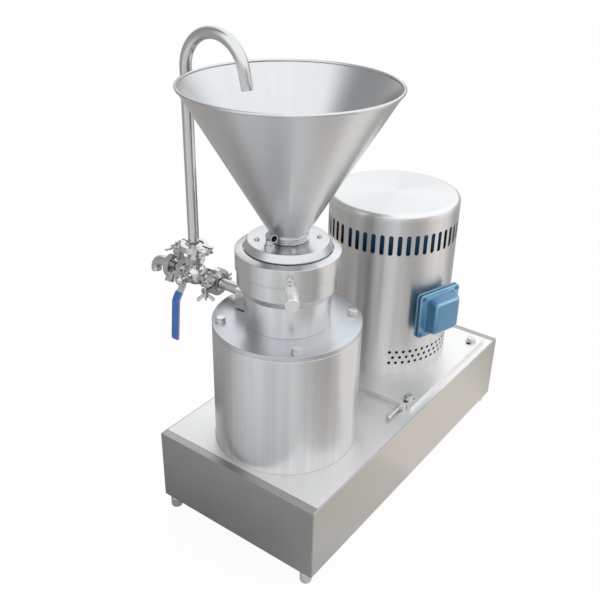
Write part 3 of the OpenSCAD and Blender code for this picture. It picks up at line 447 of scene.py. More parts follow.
@dataclass(frozen=True)
class Cast(Finish):
    """Grey cast metal with a sandy skin and oil in slow patches."""

    colour: Colour = (0.13, 0.13, 0.135)
    roughness: float = 0.55

    def material(self) -> bpy.types.Material:
        """Make the material.

        Returns:
            The material.
        """
        shader, point = self.start()
        sand = shader.noise(point, 380.0, 4.0, 0.7)
        oil = shader.noise(point, 18.0, 3.0).step(0.45, 0.65)
        rough = self.roughness + (sand - 0.5) * 0.2 - oil * 0.15
        shade = shader.blend(sand, scaled(self.colour, 0.7), scaled(self.colour, 1.35))
        return shader.surface(Base_Color=shader.blend(oil * 0.4, shade, (0.05, 0.045, 0.04)), Roughness=rough,
                              Metallic=0.75, Normal=shader.bump(sand, 0.35, 0.3))


@dataclass(frozen=True)
class Laminated(Finish):
    """Stacked core sheets: fine level lines, from a wave of the height, over dark steel."""

    colour: Colour = (0.2, 0.2, 0.21)
    pitch: float = 1.0

    def material(self) -> bpy.types.Material:
        """Make the material.

        Returns:
            The material.
        """
        shader, point = self.start()
        height = shader.split(point)[2]
        sheet = (height * (TAU / (self.pitch * MM))).wave() * 0.5 + 0.5
        stain = shader.noise(point, 40.0, 3.0)
        shade = shader.blend(sheet * 0.6 + stain * 0.4, scaled(self.colour, 0.6), self.colour)
        return shader.surface(Base_Color=shade, Metallic=0.9, Roughness=0.4 + stain * 0.2,
                              Normal=shader.bump(sheet, 0.4, 0.1))


class Skin:
    """Grids of points that become one mesh."""

    def __init__(self, name: str) -> None:
        """Start with no points.

        Args:
            name: name of the mesh and its object.
        """
        self.name = name
        self.points: list[Array] = []
        self.faces: list[Array] = []
        self.count = 0

    def grid(self, points: Array, loop_rows: bool = False, loop_columns: bool = True) -> "Skin":
        """Add a grid of quads.

        Args:
            points: rows by columns by three, in millimetres of the shared frame.
            loop_rows: whether the last row joins the first.
            loop_columns: whether the last column joins the first.

        Returns:
            The skin itself.
        """
        rows, columns = points.shape[:2]
        i = np.arange(rows if loop_rows else rows - 1)[:, None]
        j = np.arange(columns if loop_columns else columns - 1)[None, :]
        below, right = (i + 1) % rows, (j + 1) % columns
        corners = (i * columns + j, i * columns + right, below * columns + right, below * columns + j)
        quads = np.stack(np.broadcast_arrays(*corners), -1).reshape(-1, 4)
        self.points.append(points.reshape(-1, 3))
        self.faces.append(quads + self.count)
        self.count += rows * columns
        return self

    def build(self, angle: float = SHARP) -> bpy.types.Object:
        """Make the mesh: doubles merged, closed, outward and smooth up to an angle.

        Args:
            angle: edges sharper than this stay sharp.

        Returns:
            The object, at the origin.
        """
        mesh = bpy.data.meshes.new(self.name)
        mesh.from_pydata((np.concatenate(self.points) * MM).tolist(), [], np.concatenate(self.faces).tolist())
        work = bmesh.new()
        work.from_mesh(mesh)
        bmesh.ops.remove_doubles(work, verts=work.verts, dist=MERGE * MM)
        bmesh.ops.dissolve_degenerate(work, edges=work.edges, dist=1e-7)
        bmesh.ops.recalc_face_normals(work, faces=work.faces)
        work.to_mesh(mesh)
        work.free()
        return shown(mesh, self.name, angle)


def shown(mesh: bpy.types.Mesh, name: str, angle: float) -> bpy.types.Object:
    """Put a mesh in the scene, smooth up to an angle.

    Args:
        mesh: the mesh.
        name: the object's name.
        angle: edges sharper than this stay sharp.

    Returns:
        The object.
    """
    mesh.shade_smooth()
    mesh.set_sharp_from_angle(angle=math.radians(angle))
    piece = bpy.data.objects.new(name, mesh)
    bpy.context.scene.collection.objects.link(piece)
    return piece


def twin(node: str, bevel: float = 0.0, steps: int = 2) -> bpy.types.Object:
    """A merged copy of a solid, smooth over its curves, with its sharp edges broken.

    Args:
        node: the solid.
        bevel: width of the broken edges, in millimetres, or 0 for none.
        steps: faces across a broken edge.

    Returns:
        The object.
    """
    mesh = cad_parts[node].data.copy()
    mesh.materials.clear()
    for layer in [a.name for a in mesh.attributes if a.name in ("custom_normal", "sharp_face", "sharp_edge")]:
        mesh.attributes.remove(mesh.attributes[layer])
    work = bmesh.new()
    work.from_mesh(mesh)
    bmesh.ops.remove_doubles(work, verts=work.verts, dist=MERGE * MM)
    bmesh.ops.dissolve_limit(work, angle_limit=math.radians(FLAT), verts=work.verts, edges=work.edges)
    work.to_mesh(mesh)
    work.free()
    piece = shown(mesh, node + "_skin", SHARP)
    if bevel > 0.0:
        broken = piece.modifiers.new("broken_edges", "BEVEL")
        broken.width = bevel * MM
        broken.segments = steps
        broken.limit_method = "ANGLE"
        broken.angle_limit = math.radians(SHARP)
        broken.harden_normals = True
    return piece


def softened(corners: Sequence[Sequence[float]], radius: float, steps: int = 4, closed: bool = True) -> Array:
    """Round the corners of an outline by a parabola between points near each corner.

    With A and B at the radius, or at 0.45 of the side, on both sides of the corner C, the curve
    is (1-t)^2 A + 2t(1-t) C + t^2 B.

    Args:
        corners: points of the outline.
        radius: distance from a corner at which the curve starts.
        steps: spans of each curve.
        closed: whether the outline closes on itself.

    Returns:
        The points, one by one.
    """
    c = np.asarray(corners, float)
    before, after = np.roll(c, 1, 0) - c, np.roll(c, -1, 0) - c
    lengths = [np.linalg.norm(v, axis=1, keepdims=True) for v in (before, after)]
    a, b = (c + v * np.minimum(radius / n, 0.45) for v, n in zip((before, after), lengths))
    t = np.linspace(0.0, 1.0, steps + 1)[None, :, None]
    curve = (1 - t) ** 2 * a[:, None] + 2 * t * (1 - t) * c[:, None] + t ** 2 * b[:, None]
    if not closed:
        curve[0], curve[-1] = c[0], c[-1]
    return curve.reshape(-1, c.shape[1])


def turned(profile: Array, steps: int = 160, ripple: Optional[Array] = None) -> Array:
    """Turn a profile round local Z: (r cos a, r sin a, z).

    Args:
        profile: radius and height, row by row.
        steps: columns round the axis.
        ripple: added to the radius, rows by columns.

    Returns:
        The grid, rows by columns by three.
    """
    a = np.arange(steps) * TAU / steps
    r = np.maximum(profile[:, :1] + (0.0 if ripple is None else ripple), 0.0)
    return spots(r * np.cos(a), r * np.sin(a), profile[:, 1:2])


def placed(points: Array, origin: Sequence[float], axis: Sequence[float] = (0, 0, 1),
           side: Sequence[float] = (1, 0, 0)) -> Array:
    """Carry local points to a place: origin + x side + y (axis x side) + z axis.

    Args:
        points: any array of points.
        origin: where the local origin lies.
        axis: direction of local Z.
        side: direction of local X, made square to the axis.

    Returns:
        The points in the shared frame.
    """
    z = np.asarray(axis, float) / np.linalg.norm(axis)
    x = np.asarray(side, float) - np.dot(side, z) * z
    x = x / np.linalg.norm(x)
    return points @ np.stack([x, np.cross(z, x), z]) + np.asarray(origin, float)


def hose(path: Array, outer: Array, inner: float, across: Sequence[float] = (1, 0, 0), steps: int = 56) -> Array:
    """A hollow tube along a flat path.

    Each ring is c + R (cos a u + sin a b), with b square to the path's plane and u = b x t. The
    rows run along the outside and back along the bore.

    Args:
        path: centre points.
        outer: outside radius at each point.
        inner: radius of the bore.
        across: direction square to the path's plane.
        steps: columns round the tube.

    Returns:
        The grid; its last row joins the first.
    """
    t = np.gradient(path, axis=0)
    t /= np.linalg.norm(t, axis=1, keepdims=True)
    b = np.asarray(across, float)
    u = np.cross(b, t)
    a = np.arange(steps) * TAU / steps
    ring = np.cos(a)[None, :, None] * u[:, None] + np.sin(a)[None, :, None] * b
    outside = path[:, None] + outer[:, None, None] * ring
    bore = path[:, None] + inner * ring
    return np.concatenate([outside, bore[::-1]])


def hexagon_head(radius: float, height: float, steps: int = 72) -> Array:
    """A hexagon head with its chamfer, from its seat to the middle of its top.

    The flat's distance at angle a is R(a) = r cos 30 / cos(a mod 60 - 30), and the chamfer drops
    by tan 30 outside the top circle.

    Args:
        radius: distance of the corners.
        height: height of the head.
        steps: columns, a multiple of six.

    Returns:
        The grid.
    """
    a = np.arange(steps) * TAU / steps
    flat = radius * math.cos(math.pi / 6)
    edge = flat / np.cos(np.mod(a, TAU / 6) - TAU / 12)
    top = 0.93 * flat
    radii = np.stack([0 * a, edge, edge, np.full_like(a, top), np.full_like(a, 0.9 * top), 0 * a])
    chamfer = height - (edge - top) * math.tan(math.pi / 6)
    full = np.full_like(a, height)
    heights = np.stack([0 * a, 0 * a, chamfer, full, full, full])
    return spots(radii * np.cos(a), radii * np.sin(a), heights)


def rounded_frame(width: float, height: float, radius: float, steps: int = 12) -> Array:
    """Outline of a rectangle with round corners: each corner is centre + radius (cos a, sin a).

    Args:
        width: size along the first axis.
        height: size along the second axis.
        radius: radius of the corners.
        steps: points on each corner.

    Returns:
        The points, 4 x steps by two.
    """
    a = (np.arange(4)[:, None] * 90.0 + np.linspace(0.0, 90.0, steps)[None, :]) * math.pi / 180
    signs = np.array([[1, 1], [-1, 1], [-1, -1], [1, -1]], float)
    middle = signs * np.array([width / 2 - radius, height / 2 - radius])
    return (middle[:, None] + arc(0.0, 0.0, radius, a)).reshape(-1, 2)


def screw_ripple(profile: Array, low: float, high: float, pitch: float, depth: float, steps: int) -> Array:
    """A thread as a change of radius: depth (cos(z 2 pi / pitch - a) - 1) / 2 between two heights.

    Args:
        profile: radius and height, row by row.
        low: height at which the thread starts.
        high: height at which it ends.
        pitch: rise of one turn.
        depth: depth of the thread.
        steps: columns round the axis.

    Returns:
        Rows by columns.
    """
    a = np.arange(steps) * TAU / steps
    z = profile[:, 1:2]
    inside = (z > low) & (z < high)
    return np.where(inside, 0.5 * depth * (np.cos(z * TAU / pitch - a) - 1.0), 0.0)


class Finishes:
    """The machine's finishes, each made once."""

    def __init__(self, mill: tuple[float, float], motor: tuple[float, float]) -> None:
        """Make every finish.

        Args:
            mill: the mill's axis, in millimetres.
            motor: the motor's axis, in millimetres.
        """
        # One sheet steel in three tones: the deck paler as painted light on the top, the side panels darker and the
        # end panels darker still as painted shade.
        self.panel = Steel("brushed_panel_shaded", (0.55, 0.535, 0.505), 0.36, Grain.ALONG_X, streak=0.08, relief=0.04)
        self.end = Steel("brushed_end_shaded", (0.40, 0.39, 0.385), 0.36, Grain.ALONG_Y, streak=0.08, relief=0.04)
        self.deck = Steel("brushed_deck_lit", (0.85, 0.835, 0.82), 0.48, Grain.ALONG_X, streak=0.06, relief=0.04)
        self.shell = Steel("rolled_shell", (0.71, 0.71, 0.715), 0.28, Grain.TURNED, mill,
                           anisotropy=0.7, streak=0.018, smudge=0.02, relief=0.004, stripe=0.25)
        self.flange = Steel("faced_flange", (0.59, 0.605, 0.62), 0.32, Grain.TURNED, mill,
                            anisotropy=0.4, streak=0.08, smudge=0.1, relief=0.05)
        self.disc = Steel("faced_disc", (0.63, 0.635, 0.64), 0.28, Grain.TURNED, mill,
                          anisotropy=0.4, streak=0.06, smudge=0.1, relief=0.03)
        self.head = Steel("turned_head", (0.69, 0.69, 0.69), 0.28, Grain.TURNED, mill,
                          anisotropy=0.65, streak=0.06, smudge=0.04, relief=0.008, stripe=0.25)
        self.housing = Steel("turned_housing", (0.79, 0.79, 0.79), 0.30, Grain.TURNED, mill,
                             anisotropy=0.6, streak=0.04, smudge=0.03, relief=0.004, stripe=0.2)
        self.cone = Steel("polished_cone", (0.66, 0.66, 0.665), 0.25, Grain.TURNED, mill,
                          anisotropy=0.8, streak=0.03, smudge=0.02, relief=0.004, stripe=0.05)
        self.cover = Steel("rolled_cover", (0.70, 0.695, 0.69), 0.32, Grain.TURNED, motor,
                           anisotropy=0.75, streak=0.035, smudge=0.02, relief=0.004, stripe=0.2, stripe_stop_lit_top=660.0)
        self.tube = Steel("polished_tube", (0.64, 0.635, 0.63), 0.15, streak=0.05, smudge=0.08, relief=0.03)
        self.fitting = Steel("polished_fitting", (0.65, 0.645, 0.64), 0.14, streak=0.07, smudge=0.1, relief=0.06)
        self.bolt = Steel("bright_bolt", (0.64, 0.635, 0.63), 0.18, streak=0.08, smudge=0.12, relief=0.08)
        self.ground = Steel("ground_tooth", (0.62, 0.61, 0.60), 0.28, Grain.TURNED, mill)
        self.pale = Steel("satin_rod", (0.84, 0.83, 0.82), 0.28, streak=0.05, smudge=0.1, relief=0.05, metal=0.55)
        self.foot = Steel("turned_foot", (0.72, 0.71, 0.70), 0.30, smudge=0.15)
        # Its pale cyan second colour is the painted highlight on the terminal cover's edges, and scuffs elsewhere.
        self.blue = Paint("blue_enamel", (0.05, 0.185, 0.35), (0.38, 0.72, 0.84),
                          roughness=0.22, peel=0.06, coat=0.8, metal=0.4)
        # Paler copy of the blue enamel for the box body: painted light against the shade between box and cover.
        self.box_blue = Paint("box_enamel_lit", (0.16, 0.34, 0.50), (0.35, 0.66, 0.78),
                              roughness=0.34, peel=0.06, coat=0.2, metal=0.3)
        self.motor_blue = Paint("motor_enamel", (0.02, 0.11, 0.24), (0.09, 0.2, 0.33),
                                roughness=0.42)
        self.sleeve = Moulded("blue_vinyl", (0.03, 0.115, 0.37), roughness=0.38, skin=500.0, relief=0.12, dust=0.08)
        self.rubber = Moulded("black_rubber", (0.018, 0.018, 0.019), roughness=0.62)
        self.plastic = Moulded("black_plastic", (0.02, 0.02, 0.022), roughness=0.45, skin=300.0, relief=0.15)
        self.cast = Cast("cast_grey")
        self.core = Laminated("core_sheets")
        self.ink = Moulded("engraved_line", (0.06, 0.058, 0.055), roughness=0.5, skin=400.0, relief=0.1)
        self._made: dict[str, bpy.types.Material] = {}

    def get(self, name: str) -> bpy.types.Material:
        """Material of a finish, made on first use.

        Args:
            name: the finish, as it is called here.

        Returns:
            The material.
        """
        if name not in self._made:
            self._made[name] = getattr(self, name).material()
        return self._made[name]


SLOTS = {finish: slot for slot, finishes in {
    "brushed_stainless": "panel end deck shell flange disc head housing cover",
    "polished_stainless": "cone tube fitting bolt foot pale",
    "ground_steel": "ground",
    "blue_paint": "blue box_blue motor_blue",
    "blue_sleeve": "sleeve",
    "black_rubber": "rubber",
    "black_plastic": "plastic ink",
    "cast_grey": "cast",
    "core_steel": "core",
}.items() for finish in finishes.split()}


class Dresser:
    """Gives pieces their finish and body, and solids their finish."""

    def __init__(self, finishes: Finishes) -> None:
        """Keep the finishes."""
        self.finishes = finishes

    def coat(self, mesh: bpy.types.Mesh, finish: str) -> None:
        """Leave a mesh with one finish."""
        mesh.materials.clear()
        mesh.materials.append(self.finishes.get(finish))

    def piece(self, piece: bpy.types.Object, body: str, finish: str, *nodes: str) -> bpy.types.Object:
        """Dress a new piece.

        Args:
            piece: the object.
            body: the body it rides on.
            finish: name of its finish.
            *nodes: the solids it stands for.

        Returns:
            The object.
        """
        self.coat(piece.data, finish)
        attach(piece, body)
        if nodes:
            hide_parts(*nodes)
        LOG.info("%s: %d faces on %s, %s", piece.name, len(piece.data.polygons), body, finish)
        return piece

    def copy(self, node: str, body: str, finish: str, bevel: float = 0.0, steps: int = 2) -> bpy.types.Object:
        """Dress a smooth copy of a solid in its place."""
        return self.piece(twin(node, bevel, steps), body, finish, node)

    def soft(self, piece: bpy.types.Object, bodies: tuple[str, str], ends: tuple[Array, Array], finish: str,
             *nodes: str) -> None:
        """Dress a piece that bends or stretches between two bodies.

        Args:
            piece: the object.
            bodies: the body at its start and the one at its end.
            ends: points between which it passes from one to the other, in millimetres.
            finish: name of its finish.
            *nodes: the solids it stands for.
        """
        self.coat(piece.data, finish)
        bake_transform(piece, *bodies, *(tuple(end * MM) for end in ends))
        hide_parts(*nodes)
        LOG.info("%s: %d faces between %s and %s, %s", piece.name, len(piece.data.polygons), *bodies, finish)

    def solid(self, finish: str, *nodes: str) -> None:
        """Dress solids that stay as they are.

        Args:
            finish: name of their finish.
            *nodes: the solids.
        """
        for node in nodes:
            self.coat(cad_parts[node].data, finish)
            LOG.info("%s: solid, %s", node, finish)


@dataclass
class Places:
    """Axes and levels of the machine, read from the solids, in millimetres."""

    mill: tuple[float, float]
    motor: tuple[float, float]
    valve: tuple[float, float, float]
    deck: float

    @classmethod
    def read(cls) -> "Places":
        """Take the places from the boxes of round solids.

        Returns:
            The places.
        """
        def middle(node: str) -> Array:
            """Middle of a solid's box."""
            low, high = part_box(node)
            return (np.array(low) + np.array(high)) / 2 / MM

        ped, shields, ball = middle("pedestal_shell"), middle("motor_shields"), middle("valve_ball")
        return cls((ped[0], ped[1]), (shields[0], shields[1]), tuple(ball),
                   float(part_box("base_deck")[1].z / MM))

    def on_mill(self, points: Array) -> Array:
        """Carry points from the mill's axis on the deck to the shared frame."""
        return points + np.array([*self.mill, self.deck])

    def on_motor(self, points: Array) -> Array:
        """Carry points from the motor's axis on the deck to the shared frame."""
        return points + np.array([*self.motor, self.deck])


@dataclass
class Assembly:
    """A sub-assembly: what dresses its pieces, and where it stands."""

    dress: Dresser
    at: Places

    def ring_shape(self, name: str, profile: Array) -> bpy.types.Object:
        """A closed profile turned round the mill's axis."""
        return Skin(name).grid(self.at.on_mill(turned(profile, 240)), True).build()


@dataclass
class BaseBox(Assembly):
    """Folded sheet base on four turned feet."""

    foot_h: float = 32.0
    foot_r: float = 13.5
    foot_round: float = 7.0
    groove: float = 0.8
    fold: float = 2.2
    deck_edge: float = 0.5

    def feet(self) -> None:
        """Feet: a profile turned about each foot's axis, with a groove under the box."""
        low, high = millimetres(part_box("feet"))
        r, waist, h = self.foot_r, self.foot_r - self.groove, self.foot_h
        outline = [[0, 0], [r, 0], [r, h - 5], [waist, h - 4], [waist, h - 3], [r, h - 2], [r, h], [0, h]]
        profile = softened(outline, self.foot_round, 6, False)
        skin = Skin("feet_skin")
        for x in (low[0] + r, high[0] - r):
            for y in (low[1] + r, high[1] - r):
                skin.grid(turned(profile, 64) + np.array([x, y, 0.0]))
        self.dress.piece(skin.build(), "frame", "foot", "feet")

    def build(self) -> None:
        """Dress the box: sheets with folded edges, and the feet."""
        self.dress.copy("base_deck", "frame", "deck", self.deck_edge)
        self.dress.copy("base_side_panels", "frame", "panel", self.fold, steps=3)
        self.dress.copy("base_end_panels", "frame", "end", self.fold, steps=3)
        self.feet()


@dataclass
class Pedestal(Assembly):
    """Round shell with its flange, weld and bolts."""

    radius: float = 165.0
    wall: float = 4.0
    height: float = 292.0
    ring_w: float = 31.0
    flange_t: float = 12.0
    flange_in: float = 80.0
    bolt_d: float = 12.0
    bolt_edge: float = 19.0
    shank: float = 22.0
    head_w: float = 0.92
    head_h: float = 0.62
    plate_washer: float = 1.25
    washer_t: float = 2.5
    plate_washer_t: float = 3.0
    plate_inset: tuple[float, float, float] = (31.0, 36.0, 23.0)
    weld_r: float = 1.7
    weld_swell: float = 0.12
    weld_ripples: int = 180
    weld_steps: int = 720

    def shell(self) -> bpy.types.Object:
        """Shell: its wall and top ring turned round the mill's axis, with a broken top edge.

        Returns:
            The object.
        """
        r, h, t = self.radius, self.height, self.flange_t
        levels = np.linspace(0.0, h - 0.6, 14)
        outside = spots(r, levels)
        ring, inside = r - self.ring_w, r - self.wall
        rest = [[r - 0.5, h], [ring, h], [ring, h - t], [inside, h - t], [inside, 0]]
        return self.ring_shape("pedestal_shell_skin", np.concatenate([outside, np.array(rest, float)]))

    def flange(self) -> bpy.types.Object:
        """Flange: a plate turned round the mill's axis, with a broken edge.

        Returns:
            The object.
        """
        r, h, t = self.radius, self.height, self.flange_t
        profile = softened([[self.flange_in, h], [r, h], [r, h + t], [self.flange_in, h + t]], 1.1)
        return self.ring_shape("pedestal_flange_skin", profile)

    def weld(self) -> bpy.types.Object:
        """Weld at the foot: a rippled bead, its radius a little larger at each ripple.

        Returns:
            The object.
        """
        n, low, inside = self.weld_steps, CLEAR, self.radius - 1.5
        t = np.arange(n) * TAU / n
        a = np.linspace(-20.0, 110.0, 9) * math.pi / 180
        bead = self.weld_r * (1.0 + self.weld_swell * np.cos(t * self.weld_ripples))
        r = self.radius - 0.4 + bead[None, :] * np.cos(a)[:, None]
        z = np.maximum(bead[None, :] * np.sin(a)[:, None], low)
        grid = spots(r * np.cos(t), r * np.sin(t), z)
        inner = spots(inside * np.cos(t), inside * np.sin(t), low)[None]
        return Skin("pedestal_weld").grid(self.at.on_mill(np.concatenate([grid, inner])), True).build(50)

    def bolts(self) -> bpy.types.Object:
        """Bolts: hexagon heads and washers on the flange and on the motor plate.

        Returns:
            The object.
        """
        low, high = millimetres(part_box("motor_plate"))
        far, d, top = self.radius - self.bolt_edge, self.bolt_d, self.at.deck + self.height + self.flange_t
        places = [(self.at.mill[0] + far * math.cos(a), self.at.mill[1] + far * math.sin(a), top, d, self.washer_t)
                  for a in np.radians([45, 135, 225, 315])]
        near, end, side_in = self.plate_inset
        for x in (low[0] + near, high[0] - end):
            for y in (low[1] + side_in, high[1] - side_in):
                places.append((x, y, high[2], d * self.plate_washer, self.plate_washer_t))
        hole, shank_r = d / 2 + 0.3, d / 2
        skin = Skin("hex_bolts_skin")
        for turn, (x, y, z, washer_r, t) in enumerate(places):
            ring = softened([[hole, 0], [washer_r, 0], [washer_r, t], [hole, t]], 0.5, 3)
            skin.grid(placed(turned(ring, 48), (x, y, z)), True)
            side = (math.cos(turn), math.sin(turn), 0.0)
            skin.grid(placed(hexagon_head(d * self.head_w, d * self.head_h), (x, y, z + t), side=side))
            shank = np.array([[0, -self.shank], [shank_r, -self.shank], [shank_r, t], [0, t]], float)
            skin.grid(placed(turned(shank, 32), (x, y, z)))
        return skin.build()

    def build(self) -> None:
        """Make and dress the pedestal."""
        self.dress.piece(self.shell(), "frame", "shell", "pedestal_shell")
        self.dress.piece(self.flange(), "frame", "flange", "pedestal_flange")
        # The weld takes the darker panel finish: painted shade in the crease at the pedestal's foot.
        self.dress.piece(self.weld(), "frame", "panel")
        self.dress.piece(self.bolts(), "frame", "bolt", "hex_bolts")


@dataclass
class MillHead(Assembly):
    """Housing, adjusting ring with its handle and scale, feed cover and coolant elbow."""

    barrel_r: float = 86.05
    thread_r: float = 90.3
    foot_r: float = 98.0
    low_r: float = 109.5
    up_r: float = 112.5
    mouth_r: float = 95.5
    foot_z: float = 377.3
    low_z: float = 395.3
    line_z: float = 429.8
    edge_z: float = 471.3
    top_z: float = 475.8
    seat_z: float = 427.0
    disc_r: float = 94.0
    disc_z: float = 477.3
    disc_top: float = 493.9
    throat_r: float = 36.05
    handle_a: float = -140.0
    handle_r: float = 14.0
    handle_in: float = 101.5
    handle_reach: float = 178.0
    groove: float = 0.7
    line_n: int = 13
    line_gap: float = 7.5
    line_step: float = 3.0
    line_w: float = 0.7
    line_t: float = 0.1
    long_line: float = 5.0
    short_line: float = 3.2
    carrier_r: float = 60.0
    carrier_out: float = 90.0
    carrier_z: float = 432.0
    elbow_a: float = -110.0
    elbow_in: float = 31.0
    elbow_h: float = 26.0
    ball_r: float = 9.0

    def ring(self) -> bpy.types.Object:
        """Adjusting ring: its profile turned round the mill's axis, with a scale groove.

        Returns:
            The object.
        """
        profile = softened([
            [self.barrel_r, self.foot_z], [self.foot_r, self.foot_z], [self.low_r, self.low_z],
            [self.low_r, self.line_z - 0.8], [self.low_r - self.groove, self.line_z - 0.6],
            [self.low_r - self.groove, self.line_z], [self.up_r, self.line_z],
            [self.up_r, self.edge_z], [self.mouth_r, self.top_z], [self.mouth_r, self.edge_z - 2],
            [self.thread_r, self.edge_z - 2], [self.thread_r, self.seat_z], [self.barrel_r, self.seat_z]], 1.1, 3)
        return self.ring_shape("adjusting_ring_skin", profile)

    def scale(self) -> bpy.types.Object:
        """Scale: short engraved lines on the ring, each a thin bent patch at one angle.

        Returns:
            The object.
        """
        skin = Skin("ring_scale")
        start = self.line_z + 1.2
        for k in range(self.line_n):
            middle = math.radians(self.handle_a - self.line_gap - self.line_step * k)
            tall = self.long_line if k % 5 == 0 else self.short_line
            a = middle + np.array([-1, 1, 1, -1]) * (self.line_w / 2) / self.up_r
            out = np.array([-1, -1, 1, 1]) * (self.line_t / 2) + self.up_r
            loop = spots(out * np.cos(a), out * np.sin(a), 0.0)
            rows = np.repeat([start, start + tall], 2)[:, None, None]
            grid = loop[None] + np.array([0, 0, 1.0]) * rows
            grid[[0, 3]] = grid.mean(1, keepdims=True)[[0, 3]]
            skin.grid(self.at.on_mill(grid))
        return skin.build()

    def handle(self) -> tuple[bpy.types.Object, bpy.types.Object]:
        """Handle: a rod turned about its own axis, and its faced end with a centre mark.

        Returns:
            The rod and the end.
        """
        low, high, r = self.handle_in, self.handle_reach, self.handle_r
        rod = softened([[0, low], [r, low], [r, high], [0, high]], 1.5, 4, False)
        end = np.array([[0, high - 0.5], [r - 1.7, high - 0.5], [r - 1.7, high + 0.1], [r - 2, high + 0.2],
                        [1.6, high + 0.2], [0.3, high - 0.3], [0, high - 0.3]])
        place = (*self.at.mill, self.at.deck + self.line_z), heading(self.handle_a), (0, 0, 1)
        grids = [placed(turned(profile, 72), *place) for profile in (rod, end)]
        return Skin("ring_handle_skin").grid(grids[0]).build(), Skin("handle_end").grid(grids[1]).build()

    def cover(self) -> bpy.types.Object:
        """Feed cover: a bevelled disc and its neck, turned round the mill's axis.

        Returns:
            The object.
        """
        throat, neck, thread = self.throat_r, self.carrier_r, self.carrier_out
        low, top, r = self.disc_z, self.disc_top, self.disc_r
        profile = softened([
            [throat, low + 3], [neck, low - 12], [neck, self.carrier_z], [thread, self.carrier_z],
            [thread, low], [r, low], [r, low + 1.5], [r - 8, top], [throat, top]], 0.9, 3)
        return self.ring_shape("feed_cover_skin", profile)

    def elbow(self) -> tuple[bpy.types.Object, bpy.types.Object]:
        """Coolant elbow: hexagon foot, ball and arm turned about their axes, and a black cup in the arm's bore as
        painted shade.

        Returns:
            The elbow and the bore's painted shade.
        """
        x, y = self.at.mill
        foot = np.array([x - self.disc_r + self.elbow_in, y, self.at.deck + self.disc_top])
        ball = foot + np.array([0.0, 0.0, self.elbow_h])
        a = np.radians(np.linspace(-62.0, 90.0, 16))
        cap = arc(0.0, self.elbow_h, self.ball_r, a)
        stem = np.concatenate([[[0.0, CLEAR], [7.9, CLEAR], [7.9, 18.0]], cap])
        stem[-1, 0] = 0.0
        arm = softened([[0.0, 0.0], [8.2, 0.0], [8.2, 11.0], [8.8, 12.0], [8.8, 18.0], [6.9, 18.0], [6.6, 17.4],
                        [6.6, 4.0], [0.0, 4.0]], 0.6, 3, False)
        shade_cup = np.array([[0.0, 4.3], [6.5, 4.3], [6.5, 17.3], [6.2, 17.3], [6.2, 4.7], [0.0, 4.7]])
        aim = heading(self.elbow_a)
        skin = Skin("cooling_elbow_skin")
        skin.grid(placed(hexagon_head(11.0, 9.0), foot)).grid(placed(turned(stem, 48), foot))
        skin.grid(placed(turned(arm, 48), ball, aim, (0, 0, 1)))
        bore = Skin("elbow_bore_shade").grid(placed(turned(shade_cup, 32), ball, aim, (0, 0, 1)))
        return skin.build(), bore.build()

    def build(self) -> None:
        """Make and dress the mill head."""
        self.dress.copy("mill_housing", "frame", "housing", 0.5)
        self.dress.piece(self.ring(), "ring", "head", "adjusting_ring")
        self.dress.piece(self.scale(), "ring", "ink")
        rod, end = self.handle()
        self.dress.piece(rod, "ring", "pale", "ring_handle")
        # The faced end wears the darker housing finish: painted shade on the upright end face.
        self.dress.piece(end, "ring", "housing")
        self.dress.copy("lock_screw", "ring", "bolt", 0.5)
        self.dress.piece(self.cover(), "stator_unit", "disc", "feed_cover")
        self.dress.copy("cover_screws", "stator_unit", "bolt", 0.4)
        elbow, bore = self.elbow()
        self.dress.piece(elbow, "stator_unit", "tube", "cooling_elbow")
        # Black cup in the bore: painted shade.
        self.dress.piece(bore, "stator_unit", "rubber")


@dataclass
class Hopper(Assembly):
    """Spun cone with a rolled rim on a threaded neck."""

    bore_r: float = 32.0
    throat_r: float = 36.0
    neck_r: float = 40.0
    mouth_r: float = 216.0
    foot_z: float = 481.3
    disc_top: float = 493.9
    cone_z: float = 508.9
    height: float = 301.0
    wall: float = 2.0
    bead_r: float = 3.5
    thread_pitch: float = 4.8
    thread_depth: float = 3.2
    thread_out: float = 2.6
    steps: int = 256

    def build(self) -> None:
        """Turn the wall from the neck up to the rim, round the bead and down inside."""
        slope = (self.mouth_r - self.neck_r) / self.height
        skin = self.wall * math.sqrt(1 + slope * slope)
        rim = self.cone_z + self.height
        neck_z = np.linspace(self.disc_top + 0.4, self.cone_z - 1.0, 34)
        neck = spots(self.neck_r + self.thread_out, neck_z)
        weld = np.array([self.neck_r, self.cone_z]) + np.array([[2.2, -0.5], [2.4, 0.9], [2.2, 2.2]])
        rise = np.linspace(0.012, 1.0, 26)[:, None]
        run = np.array([slope * self.height, self.height - self.bead_r])
        outer = np.array([self.neck_r, self.cone_z]) + rise * run
        lean = math.atan(slope)
        a = np.linspace(-math.pi / 2 + lean, 1.5 * math.pi - lean * 1.6, 22)
        bead = arc(self.mouth_r, rim, self.bead_r, a)
        fall = np.linspace(0.02, 1.0, 24)[:, None]
        deep = self.height - 1.5
        inner = np.array([self.mouth_r - skin, rim - 1.5]) - fall * np.array([slope * deep, deep])
        lower = np.array([[self.bore_r, self.cone_z - 8], [self.bore_r, self.foot_z], [self.throat_r, self.foot_z],
                          [self.throat_r, self.disc_top], [self.neck_r, self.disc_top]], float)
        profile = np.concatenate([neck, weld, outer, bead, inner, lower])
        ripple = screw_ripple(profile, self.disc_top + 0.5, self.cone_z - 1.2, self.thread_pitch,
                              self.thread_depth, self.steps)
        ripple[len(neck) + len(weld):] = 0.0
        grid = self.at.on_mill(turned(profile, self.steps, ripple))
        self.dress.piece(Skin("hopper_skin").grid(grid, True).build(), "stator_unit", "cone", "hopper")


